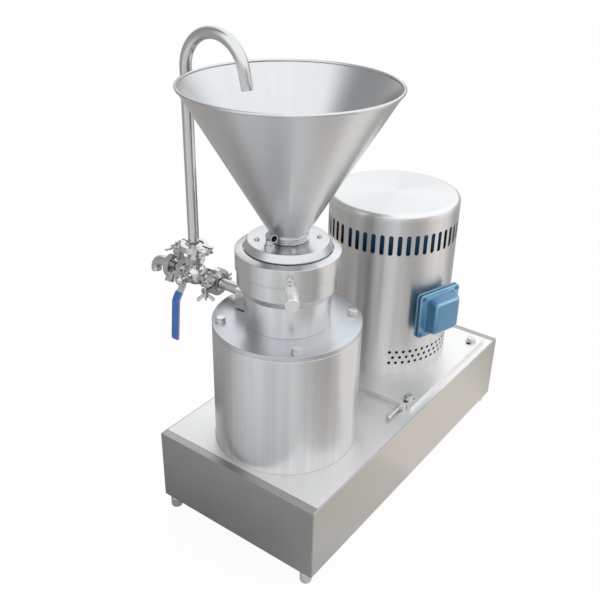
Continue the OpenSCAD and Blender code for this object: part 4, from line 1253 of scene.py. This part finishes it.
@dataclass
class ProductTubes(Assembly):
    """Outlet, valve, return pipe and spout, with their clamps."""

    tube_r: float = 12.7
    bore_r: float = 11.2
    ferrule_r: float = 25.25
    ferrule_rim: float = 2.85
    root_r: float = 15.7
    ferrule_l: float = 21.5
    reach: float = 70.0
    leg: float = 401.0
    bow_r: float = 83.25
    tail: float = 17.0
    tail_lean: float = 12.0
    spout_run: float = 35.0
    spout_r: float = 25.0
    spout_tail: float = 6.0
    ferrule_a: float = 20.0
    end_break: float = 0.35

    def with_ferrule(self, run: float) -> tuple[Array, Array]:
        """Distances and radii along a tube from its ferrule's face.

        Args:
            run: length of the straight part.

        Returns:
            Distances and outside radii; a low weld bead lies where ferrule and tube meet.
        """
        rim, far, wide, thin = self.ferrule_rim, self.ferrule_l, self.ferrule_r, self.tube_r
        end = rim + (wide - self.root_r) * math.tan(math.radians(self.ferrule_a))
        d = [0.0, 0.4, rim - 0.4, rim, end, end + 1.5, far - 1.2, far - 0.6, far, far + 0.6, far + 1.2]
        bead = [thin, thin + 0.25, thin + 0.35, thin + 0.25, thin]
        r = [wide - 0.4, wide, wide, wide - 0.4, self.root_r, thin, *bead]
        more = np.linspace(far + 3, run, 12)
        return np.concatenate([d, more]), np.concatenate([r, np.full_like(more, thin)])

    def tube(self, name: str, radii: Array, *parts: Array) -> bpy.types.Object:
        """A tube along a path in one upright plane, with its last edge broken.

        Args:
            name: the object's name.
            radii: outside radii along the first part.
            *parts: centre points, part by part.

        Returns:
            The object.
        """
        path = np.concatenate(parts)
        outer = np.concatenate([radii, np.full(len(path) - len(radii), self.tube_r)])
        outer[-1] -= self.end_break
        return Skin(name).grid(hose(path, outer, self.bore_r), True).build()

    def return_pipe(self) -> bpy.types.Object:
        """Return pipe: up from its ferrule, most of half a circle towards the hopper and a slanting end.

        The bow's radius follows from the lean, so that the bow's top and the mouth's middle stay where
        a plain half circle with an upright end would have them.

        Returns:
            The object.
        """
        x, y, z = self.at.valve
        lean = math.radians(self.tail_lean)
        s, c = math.sin(lean), math.cos(lean)
        bow_r = (2 * self.bow_r - s * (self.tail + self.bow_r) / c) / (1 + (1 - s) / c)
        leg = self.leg + self.bow_r - bow_r
        length = (self.tail + self.bow_r - bow_r + bow_r * s) / c
        d, r = self.with_ferrule(leg)
        straight = spots(x, y, z + self.reach + d)
        a = np.linspace(0.0, math.pi - lean, 50)[1:]
        top = z + self.reach + leg
        bow = spots(x, y - bow_r + bow_r * np.cos(a), top + bow_r * np.sin(a))
        drop = np.linspace(0.0, length, 6)[1:]
        end = bow[-1] + drop[:, None] * np.array([0.0, -s, -c])
        return self.tube("return_pipe_skin", r, straight, bow, end)

    def spout(self) -> bpy.types.Object:
        """Spout: out from its ferrule, a quarter circle and a short end down.

        Returns:
            The object.
        """
        x, y, z = self.at.valve
        d, r = self.with_ferrule(self.spout_run)
        straight = spots(x, y + self.reach + d, z)
        a = np.linspace(0.0, math.pi / 2, 26)[1:]
        bend_y, low = y + self.reach + self.spout_run, z - self.spout_r
        bend = spots(x, bend_y + self.spout_r * np.sin(a), low + self.spout_r * np.cos(a))
        drop = np.linspace(0.0, self.spout_tail, 4)[1:]
        end = spots(x, bend_y + self.spout_r, low - drop)
        return self.tube("spout_elbow_skin", r, straight, bend, end)

    def build(self) -> None:
        """Make and dress the tubes, the valve and the clamps."""
        self.dress.copy("outlet_spool", "frame", "tube", 0.8)
        self.dress.piece(self.return_pipe(), "frame", "tube", "return_pipe")
        self.dress.piece(self.spout(), "frame", "tube", "spout_elbow")
        self.dress.copy("valve_body", "frame", "fitting", 0.7)
        self.dress.copy("stem_gland", "frame", "fitting", 0.4)
        self.dress.copy("clamp_shells", "frame", "fitting", 1.3, steps=3)
        self.dress.copy("clamp_bolts", "frame", "bolt", 0.4)
        for name in ("outlet", "spout", "return"):
            self.dress.copy("wing_nut_" + name, "nut_" + name, "fitting", 0.9, steps=3)
        self.dress.solid("rubber", "valve_gaskets")
        self.dress.solid("fitting", "valve_ball", "valve_stem")


@dataclass
class Lever(Assembly):
    """Valve lever: a bent strip with a dipped sleeve and a domed nut."""

    lever_x: float = 43.0
    strip_t: float = 3.0
    width: float = 19.0
    step: float = 23.0
    lean: float = 10.0
    length: float = 144.0
    bend_top: float = 14.0
    bend_low: float = 44.0
    sleeve_wall: float = 1.75
    sleeve_start: float = 0.45
    nut_r: float = 12.0
    tip_round: float = 8.0
    top_round: float = 1.2

    def sleeve(self) -> bpy.types.Object:
        """Sleeve: a rounded slot outline carried down the strip's bent line, closed round its tip.

        A row at height z is centred on the strip there, and shrinks near both ends as a quarter
        circle does.

        Returns:
            The object.
        """
        thick, wide = self.strip_t + 2 * self.sleeve_wall, self.width + 2 * self.sleeve_wall
        start = -self.bend_top - self.sleeve_start * (self.bend_low - self.bend_top)
        tip = -self.length - self.sleeve_wall
        ends = 1 - np.cos(np.linspace(0.0, math.pi / 2, 7))
        closing = np.sin(np.linspace(math.pi / 2, 0.0, 12))
        z = np.concatenate([start - self.top_round * ends, np.linspace(start - 2.5, tip + 9, 40),
                            tip + self.tip_round * closing])
        line_z = [tip, -self.bend_low - 6, -self.bend_low - 2.5, -self.bend_low + 2.5, start + 1]
        slant = self.step / (self.bend_low - self.bend_top)
        slope = self.lean / (self.length - self.bend_low)
        line_x = [self.step + self.lean, self.step + 6 * slope, self.step + 1.2 * slope - 0.25,
                  self.step - 2.5 * slant - 0.25, self.step - slant * (self.bend_low + start + 1)]
        middle = -(self.lever_x - self.sleeve_wall) - np.interp(z, line_z, line_x) - thick / 2
        foot = np.clip((z - tip) / self.tip_round, 0.0, 1.0)
        head = np.clip((start - z) / self.top_round, 0.0, 1.0)
        narrow = 1 - 0.34 * (1 - np.sqrt(1 - (1 - foot) ** 2)) - 0.04 * (1 - np.sqrt(1 - (1 - head) ** 2))
        thin = np.where(foot < 0.45, np.sqrt(np.clip(1 - (1 - foot / 0.45) ** 2, 0.0, 1.0)), 1.0)
        thin = np.maximum(thin, 0.12) * (1 - 0.12 * (1 - head))
        outline = rounded_frame(thick, wide, 2.6, 7)
        x = middle[:, None] + outline[None, :, 0] * thin[:, None]
        y = outline[None, :, 1] * narrow[:, None]
        rows = spots(x, y, z[:, None])
        first, last = (np.repeat(row.mean(1, keepdims=True), len(outline), 1) for row in (rows[:1], rows[-1:]))
        grid = np.concatenate([first, rows, last]) + np.array(self.at.valve)
        return Skin("lever_sleeve_skin").grid(grid).build(50)

    def nut(self) -> bpy.types.Object:
        """Domed nut: a short skirt and a dome, turned about the stem.

        Returns:
            The object.
        """
        low = self.lever_x + self.strip_t
        seat = low + CLEAR
        a = np.linspace(0.0, math.pi / 2, 14)
        dome = arc(0.0, low + 4, self.nut_r, a)
        dome[-1, 0] = 0.0
        skirt = [[0.0, seat], [6.1, seat], [self.nut_r - 0.6, seat], [self.nut_r, low + 0.6]]
        grid = placed(turned(np.concatenate([skirt, dome]), 64), self.at.valve, (-1, 0, 0), (0, 0, 1))
        return Skin("lever_nut_skin").grid(grid).build()

    def build(self) -> None:
        """Make and dress the lever."""
        self.dress.copy("valve_lever", "valve", "bolt", 0.5)
        self.dress.piece(self.sleeve(), "valve", "sleeve", "lever_sleeve")
        self.dress.piece(self.nut(), "valve", "fitting", "lever_nut")


@dataclass
class MotorUnit(Assembly):
    """Motor under its slotted cover, on the sliding plate, with its terminal box."""

    cover_r: float = 165.5
    cover_wall: float = 2.0
    cover_top: float = 456.0
    cover_round: float = 12.0
    true_from: float = 0.93
    slot_n: int = 48
    slot_first: float = 171.75
    slot_step: float = 350.5 / 47
    slot_z: float = 377.0
    slot_w: float = 8.0
    slot_h: float = 52.0
    slot_gain: float = 1.38
    hole_n: tuple[int, ...] = (13, 12, 13)
    hole_step: float = 6.25
    hole_z: float = 46.0
    hole_rise: float = 15.8
    hole_d: float = 6.0
    hole_gain: float = 1.42
    term_a: float = -107.0
    term_z: float = 195.0
    term_w: float = 132.0
    term_h: float = 119.0
    plate_in: float = 185.0
    plate_t: float = 6.0
    face: float = 224.0
    dome_w: float = 92.0
    dome_h: float = 98.0
    draft: float = 6.0
    dome_round: float = 9.0
    dome_corner: float = 9.0

    def opened(self, points: Array) -> Array:
        """Widen the cover's slots and holes by their burred, rounded edges.

        A point on an edge lies u = r sin(a) across and v above the middle of its slot or hole. The
        slot's u grows by its gain and its round ends keep their height; the hole's u and v both grow.

        Args:
            points: points from the motor's axis on the deck, in millimetres.

        Returns:
            The moved points.
        """
        far = np.linalg.norm(points[:, :2], axis=1)
        wall = far > self.cover_r - self.cover_wall - 0.3
        safe = np.where(wall, far, self.cover_r)
        angle = np.degrees(np.arctan2(points[:, 1], points[:, 0]))
        height = points[:, 2].copy()
        half, gain = self.slot_step / 2, self.slot_gain
        turn = np.mod(angle - self.slot_first + half, 360.0) - half
        off = turn - self.slot_step * np.clip(np.round(turn / self.slot_step), 0, self.slot_n - 1)
        u, v = safe * np.sin(np.radians(off)), height - self.slot_z
        on = wall & (np.abs(u) < self.slot_w / 2 + 0.05) & (np.abs(v) < self.slot_h / 2 + 0.05)
        flat = (self.slot_h - self.slot_w) / 2
        low = (self.slot_h - self.slot_w * gain) / 2
        tall = np.where(np.abs(v) > flat, low + (np.abs(v) - flat) * gain, np.abs(v) * low / flat)
        height = np.where(on, self.slot_z + np.sign(v) * tall, height)
        angle = np.where(on, angle - off + np.degrees(np.arcsin(np.clip(u * gain / safe, -1, 1))), angle)
        turn = np.mod(angle - self.term_a + 180.0, 360.0) - 180.0
        for row, count in enumerate(self.hole_n):
            middle = (count - 1) / 2
            off = turn - self.hole_step * (np.clip(np.round(turn / self.hole_step + middle), 0, count - 1) - middle)
            u, v = safe * np.sin(np.radians(off)), points[:, 2] - self.hole_z - row * self.hole_rise
            on = wall & (np.hypot(u, v) < self.hole_d / 2 + 0.05)
            height = np.where(on, points[:, 2] + v * (self.hole_gain - 1), height)
            wide = np.degrees(np.arcsin(np.clip(u * self.hole_gain / safe, -1, 1)))
            angle = np.where(on, angle - off + wide, angle)
        a = np.radians(angle)
        return spots(far * np.cos(a), far * np.sin(a), height)

    def cover(self) -> bpy.types.Object:
        """Cover: the solid with its slots and holes opened, and normals of the true cylinder and edge.

        On the wall the normal is the radius, and on the rounded edge it points from the edge's
        centre circle; faces across them keep their own.

        Returns:
            The object.
        """
        piece = twin("motor_cover")
        mesh = piece.data
        points = self.opened(vertices(mesh) - np.array([*self.at.motor, self.at.deck]))
        mesh.vertices.foreach_set("co", (self.at.on_motor(points) * MM).ravel())
        mesh.update()
        corner = np.empty(len(mesh.loops), int)
        mesh.loops.foreach_get("vertex_index", corner)
        face_n = np.empty(len(mesh.polygons) * 3)
        mesh.polygons.foreach_get("normal", face_n)
        sides = np.empty(len(mesh.polygons), int)
        mesh.polygons.foreach_get("loop_total", sides)
        flat = np.repeat(face_n.reshape(-1, 3), sides, 0)
        spot = points[corner]
        far = np.linalg.norm(spot[:, :2], axis=1, keepdims=True)
        out = np.concatenate([spot[:, :2] / np.maximum(far, 1e-6), np.zeros((len(spot), 1))], 1)
        edge_r, edge_z = self.cover_r - self.cover_round, self.cover_top - self.cover_round
        lean = np.clip(np.arctan2(spot[:, 2] - edge_z, far[:, 0] - edge_r), 0.0, math.pi / 2)[:, None]
        true = np.cos(lean) * out + np.sin(lean) * np.array([0.0, 0.0, 1.0])
        true = np.where(spot[:, 2:] > edge_z - 0.01, true, out)
        facing = np.sum(true * flat, 1, keepdims=True)
        normal = np.where(np.abs(facing) > self.true_from, np.sign(facing) * true, flat)
        mesh.normals_split_custom_set(normal.tolist())
        return piece

    def terminal_cover(self) -> bpy.types.Object:
        """Terminal cover: rounded rectangles, from the plate's edge up the drafted dome to its face.

        Returns:
            The object.
        """
        low, high = self.plate_in, self.plate_in + self.plate_t
        # The last number of each plate and foot row is that row's share of painted highlight, on the plate's rim
        # and at the dome's foot.
        plate = ((2.0, 7.0, low, 0.0), (0.0, 8.0, low + 0.8, 0.0), (0.0, 8.0, high - 1.2, 0.2),
                 (0.8, 7.7, high - 0.3, 0.9), (2.4, 7.0, high, 0.5), (5.0, 6.0, high, 0.0))
        foot = ((4.0, 0.0, 0.0), (3.0, 0.1, 0.35), (1.2, 0.5, 0.35), (0.3, 1.6, 0.0))
        rows = [(self.term_w - c, self.term_h - c, r, out, e) for c, r, out, e in plate]
        rows += [(self.dome_w + 2 * c, self.dome_h + 2 * c, self.dome_corner + c, high + z, e) for c, z, e in foot]
        run = self.face - high
        shrink = 2 * self.draft / run
        for z in np.linspace(4.0, run - self.dome_round, 6):
            rows.append((self.dome_w - shrink * z, self.dome_h - shrink * z, self.dome_corner, high + z, 0.0))
        # Rows round the dome's bevel carry a painted highlight, strongest halfway round.
        for a in np.radians(np.linspace(12.0, 90.0, 8)):
            z = run - self.dome_round * (1 - math.sin(a))
            pull = self.dome_round * (1 - math.cos(a))
            rows.append((self.dome_w - shrink * z - 2 * pull, self.dome_h - shrink * z - 2 * pull,
                         self.dome_corner + 0.3 * pull, high + z, 0.75 * math.sin(2 * a) ** 3))
        grid = np.stack([spots(*rounded_frame(w, h, r).T, out) for w, h, r, out, _ in rows])
        closed = [np.repeat(end.mean(0)[None, None], grid.shape[1], 1) for end in (grid[0], grid[-1])]
        grid = np.concatenate([closed[0], grid, closed[1]])
        axis = heading(self.term_a)
        side = (-axis[1], axis[0], 0.0)
        spot = (*self.at.motor, self.at.deck + self.term_z)
        piece = Skin("terminal_cover_skin").grid(placed(grid, spot, axis, side)).build(40)
        self.edges(piece, [(out, pale_scuff_and_highlight) for _, _, _, out, pale_scuff_and_highlight in rows], axis, spot)
        return piece

    def edges(self, piece: bpy.types.Object, levels: list[tuple[float, float]], axis: Sequence[float],
              spot: Sequence[float]) -> None:
        """Store each point's painted highlight: the share of its row, stronger towards the top, where light falls
        on the box.

        Args:
            piece: the object.
            levels: distance along the axis and share of painted highlight, row by row.
            axis: direction of the rows.
            spot: where the distances start.
        """
        mesh = piece.data
        local = vertices(mesh) - np.array(spot)
        out = local @ np.array(axis)
        known = np.array(levels)
        scuff_and_highlight_share = known[np.argmin(np.abs(out[:, None] - known[None, :, 0]), 1), 1]
        # Painted highlight grows towards the top of the box, where light falls.
        top_light = np.clip(0.35 + local[:, 2] / (0.9 * self.term_h), 0.1, 1.0)
        mesh.attributes.new("edge", "FLOAT", "POINT").data.foreach_set("value", (scuff_and_highlight_share * top_light).astype(np.float32))

    def build(self) -> None:
        """Make and dress the motor."""
        self.dress.copy("motor_plate", "motor_unit", "deck", 1.0)
        self.dress.piece(self.cover(), "motor_unit", "cover", "motor_cover")
        self.dress.piece(self.terminal_cover(), "motor_unit", "blue", "terminal_cover")
        self.dress.copy("terminal_box", "motor_unit", "box_blue", 0.8)
        self.dress.copy("terminal_screws", "motor_unit", "blue", 0.4)
        self.dress.solid("rubber", "terminal_gasket")
        for node in ("motor_frame", "motor_shields", "fan_cowl"):
            self.dress.copy(node, "motor_unit", "motor_blue")
        self.dress.solid("core", "motor_stator", "motor_rotor_core")
        self.dress.solid("ground", "motor_bearings", "motor_shaft")
        self.dress.solid("plastic", "cooling_fan")


@dataclass
class Drive(Assembly):
    """Grinding set, spindle, bearings, belts and take-up."""

    screw_r: float = 4.0
    screw_l: float = 60.0
    head_r: float = 6.5
    head_l: float = 8.0
    pitch: float = 1.25
    thread: float = 0.75
    steps: int = 48
    belt_ends: float = 40.0

    def take_up_screw(self) -> bpy.types.Object:
        """Take-up screw: a threaded rod with a hollowed head, turned about its axis.

        Returns:
            The object.
        """
        low, high = millimetres(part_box("tension_screw"))
        end, top = self.screw_l, self.screw_l + self.head_l
        z = np.concatenate([np.linspace(0.3, end - 2, 240), [end]])
        rod = spots(self.screw_r, z)
        corners = [[self.head_r, end], [self.head_r, top], [3.4, top], [3.0, top - 4], [0, top - 4]]
        head = softened(corners, 0.7, 3, False)
        profile = np.concatenate([[[0, CLEAR], [self.screw_r - 0.6, CLEAR]], rod, head])
        ripple = screw_ripple(profile, 0.8, end - 3, self.pitch, self.thread, self.steps)
        ripple[2 + len(rod):] = 0.0
        spot = (high[0], (low[1] + high[1]) / 2, (low[2] + high[2]) / 2)
        grid = placed(turned(profile, self.steps, ripple), spot, (-1, 0, 0), (0, 0, 1))
        return Skin("tension_screw_skin").grid(grid).build(50)

    def build(self) -> None:
        """Make and dress the drive; the belts stretch as the motor slides."""
        for node in ("mill_rotor", "rotor_nut", "spindle_shaft"):
            self.dress.copy(node, "spindle", "ground")
        self.dress.copy("mill_stator", "stator_unit", "ground")
        self.dress.solid("ground", "bearing_inner_rings", "bearing_outer_rings")
        self.dress.copy("bearing_housing", "frame", "cast")
        self.dress.copy("bearing_cap", "frame", "cast")
        self.dress.solid("rubber", "shaft_seal")
        self.dress.copy("driven_pulley", "spindle", "cast")
        self.dress.copy("drive_pulley", "motor_rotor", "cast")
        near = np.array([self.at.mill[0] + self.belt_ends, self.at.mill[1], self.at.deck])
        far = np.array([self.at.motor[0] - self.belt_ends, self.at.motor[1], self.at.deck])
        self.dress.soft(twin("v_belts"), ("frame", "motor_unit"), (near, far), "rubber", "v_belts")
        self.dress.copy("tension_lug", "frame", "deck", 1.0)
        self.dress.copy("tension_nut", "frame", "bolt", 0.6)
        self.dress.piece(self.take_up_screw(), "take_up_screw", "bolt", "tension_screw")


@dataclass
class Studio:
    """Pale floor, soft light and the camera."""

    position: tuple[float, float, float] = (-1.45814, -1.01406, 1.39028)
    azimuth: float = -54.034
    elevation: float = 28.475
    roll: float = 1.284
    focal: float = 48.063
    floor: float = 30.0
    warm: Colour = (1.0, 0.965, 0.93)
    cool: Colour = (0.935, 0.97, 1.0)
    cool_window: tuple[float, float] = (-168.0, 58.0)
    cool_gap: tuple[float, float] = (-158.0, 16.0)
    warm_window: tuple[float, float] = (-57.0, 32.0)
    floor_painted_shade: tuple[float, float] = (150.0, 95.0)
    lit_floor: tuple[float, float] = (-80.0, 64.0)
    dark_ceiling: tuple[float, float] = (106.0, 60.0)
    room: float = 0.41
    cool_light: float = 0.46
    warm_light: float = 0.6
    ceiling: float = 1.38
    ceiling_drop: float = 1.02
    floor_shade_depth: float = 0.72
    floor_lift: float = 0.4
    floor_seen: float = 0.95
    floor_mirrored: float = 0.85
    sky_mirrored: float = 0.06

    def stood(self, name: str, data: bpy.types.ID, axes: Sequence[Array],
              place: Sequence[float]) -> bpy.types.Object:
        """Put a camera or a lamp in the scene.

        Args:
            name: the object's name.
            data: the camera or the lamp.
            axes: directions of its local X, Y and Z.
            place: where it stands, in metres.

        Returns:
            The object.
        """
        turn = np.eye(4)
        turn[:3] = np.stack([*axes, np.array(place, float)], 1)
        made = bpy.data.objects.new(name, data)
        made.matrix_world = Matrix(turn.tolist())
        bpy.context.scene.collection.objects.link(made)
        return made

    def camera(self) -> None:
        """Stand the camera, from its azimuth, elevation and roll."""
        a, e, r = np.radians([self.azimuth, self.elevation, self.roll])
        back = np.array([math.sin(a) * math.cos(e), -math.cos(a) * math.cos(e), math.sin(e)])
        right = np.array([math.cos(a), math.sin(a), 0.0])
        up = np.cross(back, right)
        across, along = math.cos(r) * right + math.sin(r) * up, math.cos(r) * up - math.sin(r) * right
        lens = bpy.data.cameras.new("camera")
        lens.lens = self.focal
        lens.sensor_width = 36.0
        lens.clip_end = 200.0
        bpy.context.scene.camera = self.stood("camera", lens, (across, along, back), self.position)

    def lamp(self, name: str, place: Sequence[float], aim: Sequence[float], size: tuple[float, float],
             power: float, colour: Colour) -> None:
        """Hang one soft lamp.

        Args:
            name: its name.
            place: where it hangs, in metres.
            aim: the point that it faces.
            size: width and height of its sheet.
            power: its power, in watts.
            colour: its colour.
        """
        light = bpy.data.lights.new(name, "AREA")
        light.shape = "RECTANGLE"
        light.size, light.size_y = size
        light.energy = power
        light.color = colour
        back = np.array(place, float) - np.array(aim, float)
        back /= np.linalg.norm(back)
        right = np.cross([0.0, 0.0, 1.0], back)
        right /= np.linalg.norm(right)
        self.stood(name, light, (right, np.cross(back, right), back), place).visible_glossy = False

    def window(self, x: Value, y: Value, middle: float, half: float) -> Value:
        """Share of a window: a smooth step of the cosine between a level direction and its middle.

        Args:
            x: first part of a direction or a place.
            y: its second part.
            middle: the window's middle, in degrees.
            half: half of its width.

        Returns:
            The share, 0 to 1.
        """
        a = math.radians(middle)
        facing = (x * math.cos(a) + y * math.sin(a)) / (x * x + y * y + 1e-4).root()
        return facing.step(math.cos(math.radians(half)), math.cos(math.radians(half * 0.2)))

    def low(self, x: Value, y: Value) -> tuple[Value, Value]:
        """Low surroundings by direction: a grey room with soft windows.

        Args:
            x: first part of a direction or a place.
            y: its second part.

        Returns:
            The brightness, and the share of cool light.
        """
        cool = self.window(x, y, *self.cool_window) - self.window(x, y, *self.cool_gap) * 0.25
        warm = self.window(x, y, *self.warm_window) * self.warm_light
        return cool * self.cool_light + warm + self.room, cool

    def ground(self) -> None:
        """Lay the floor: a level grid, white to the camera but for the machine's shadow."""
        t = np.linspace(-self.floor, self.floor, 9) / MM
        x, y = np.meshgrid(t, t)
        sheet = Skin("floor").grid(spots(x, y, -0.3), False, False).build()
        shader = Shader(bpy.data.materials.new("pale_floor"))
        seen, mirrored = shader.rays()
        point = shader.position()
        cloud = shader.noise(point, 0.7, 2.0)
        grey = shader.blend(cloud, (0.72, 0.71, 0.69), (0.76, 0.75, 0.73))
        lit = shader.out("ShaderNodeBsdfDiffuse", None, {"Color": grey})
        along, across, _ = shader.split(point)
        light, cool = self.low(along, across)
        tint = shader.blend(cool, self.warm, self.cool)
        # To mirrored rays the floor glows as a painted room: window light by direction, painted shade near the
        # machine on one side and a painted pool of light on the other.
        near = 1.0 - (along * along + across * across).root().step(0.35, 1.05)
        light = light * (1.0 - near * self.window(along, across, *self.floor_painted_shade) * self.floor_shade_depth)
        light = light + near * self.window(along, across, *self.lit_floor) * self.floor_lift
        room = shader.blend(light, (0.0, 0.0, 0.0), tint)
        glow = shader.blend(seen, room, (1.0, 1.0, 1.0))
        white = shader.out("ShaderNodeEmission", None, {"Color": glow, "Strength": 1.0})
        share = (seen * self.floor_seen).most(mirrored * self.floor_mirrored)
        mixed = shader.out("ShaderNodeMixShader", None, {0: share, 1: lit, 2: white})
        shader.node("ShaderNodeOutputMaterial", None, {"Surface": mixed})
        sheet.data.materials.append(shader.owner)

    def sky(self) -> None:
        """Soft surroundings: white to the camera, elsewhere the low room and a bright ceiling."""
        world = bpy.data.worlds.new("studio")
        bpy.context.scene.world = world
        shader = Shader(world)
        x, y, z = shader.split(shader.out("ShaderNodeTexCoord", output="Generated"))
        low, cool = self.low(x, y)
        high = self.ceiling - self.window(x, y, *self.dark_ceiling) * self.ceiling_drop
        above = z.step(0.02, 0.42)
        light = low * (1.0 - above) + high * above
        seen, mirrored = shader.rays()
        share = seen.most(mirrored * self.sky_mirrored)
        tint = shader.blend(cool.most(above), self.warm, self.cool)
        colour = shader.blend(share, tint, (1.0, 1.0, 1.0))
        strength = light * (1.0 - share) + share
        back = shader.out("ShaderNodeBackground", None, {"Color": colour, "Strength": strength})
        shader.node("ShaderNodeOutputWorld", None, {"Surface": back})

    def build(self) -> None:
        """Set the camera, the floor and the light."""
        bpy.context.scene.view_settings.view_transform = "Standard"
        self.camera()
        self.ground()
        self.sky()
        self.lamp("key", (1.3, -2.4, 2.5), (0.0, 0.0, 0.5), (2.2, 1.6), 20.0, (1.0, 0.99, 0.97))
        self.lamp("fill", (-2.6, -0.6, 2.2), (-0.1, 0.0, 0.5), (1.4, 2.0), 8.0, (0.95, 0.98, 1.0))


def main() -> None:
    """Build the studio and the sub-assemblies in order, logging each one."""
    logging.basicConfig(level=logging.INFO, format="%(name)s: %(message)s")
    at = Places.read()
    Studio().build()
    dress = Dresser(Finishes(at.mill, at.motor))
    for kind in (BaseBox, Pedestal, MillHead, Hopper, ProductTubes, Lever, MotorUnit, Drive):
        LOG.info("%s", kind.__name__)
        kind(dress, at).build()


if __name__ == "__main__":
    main()
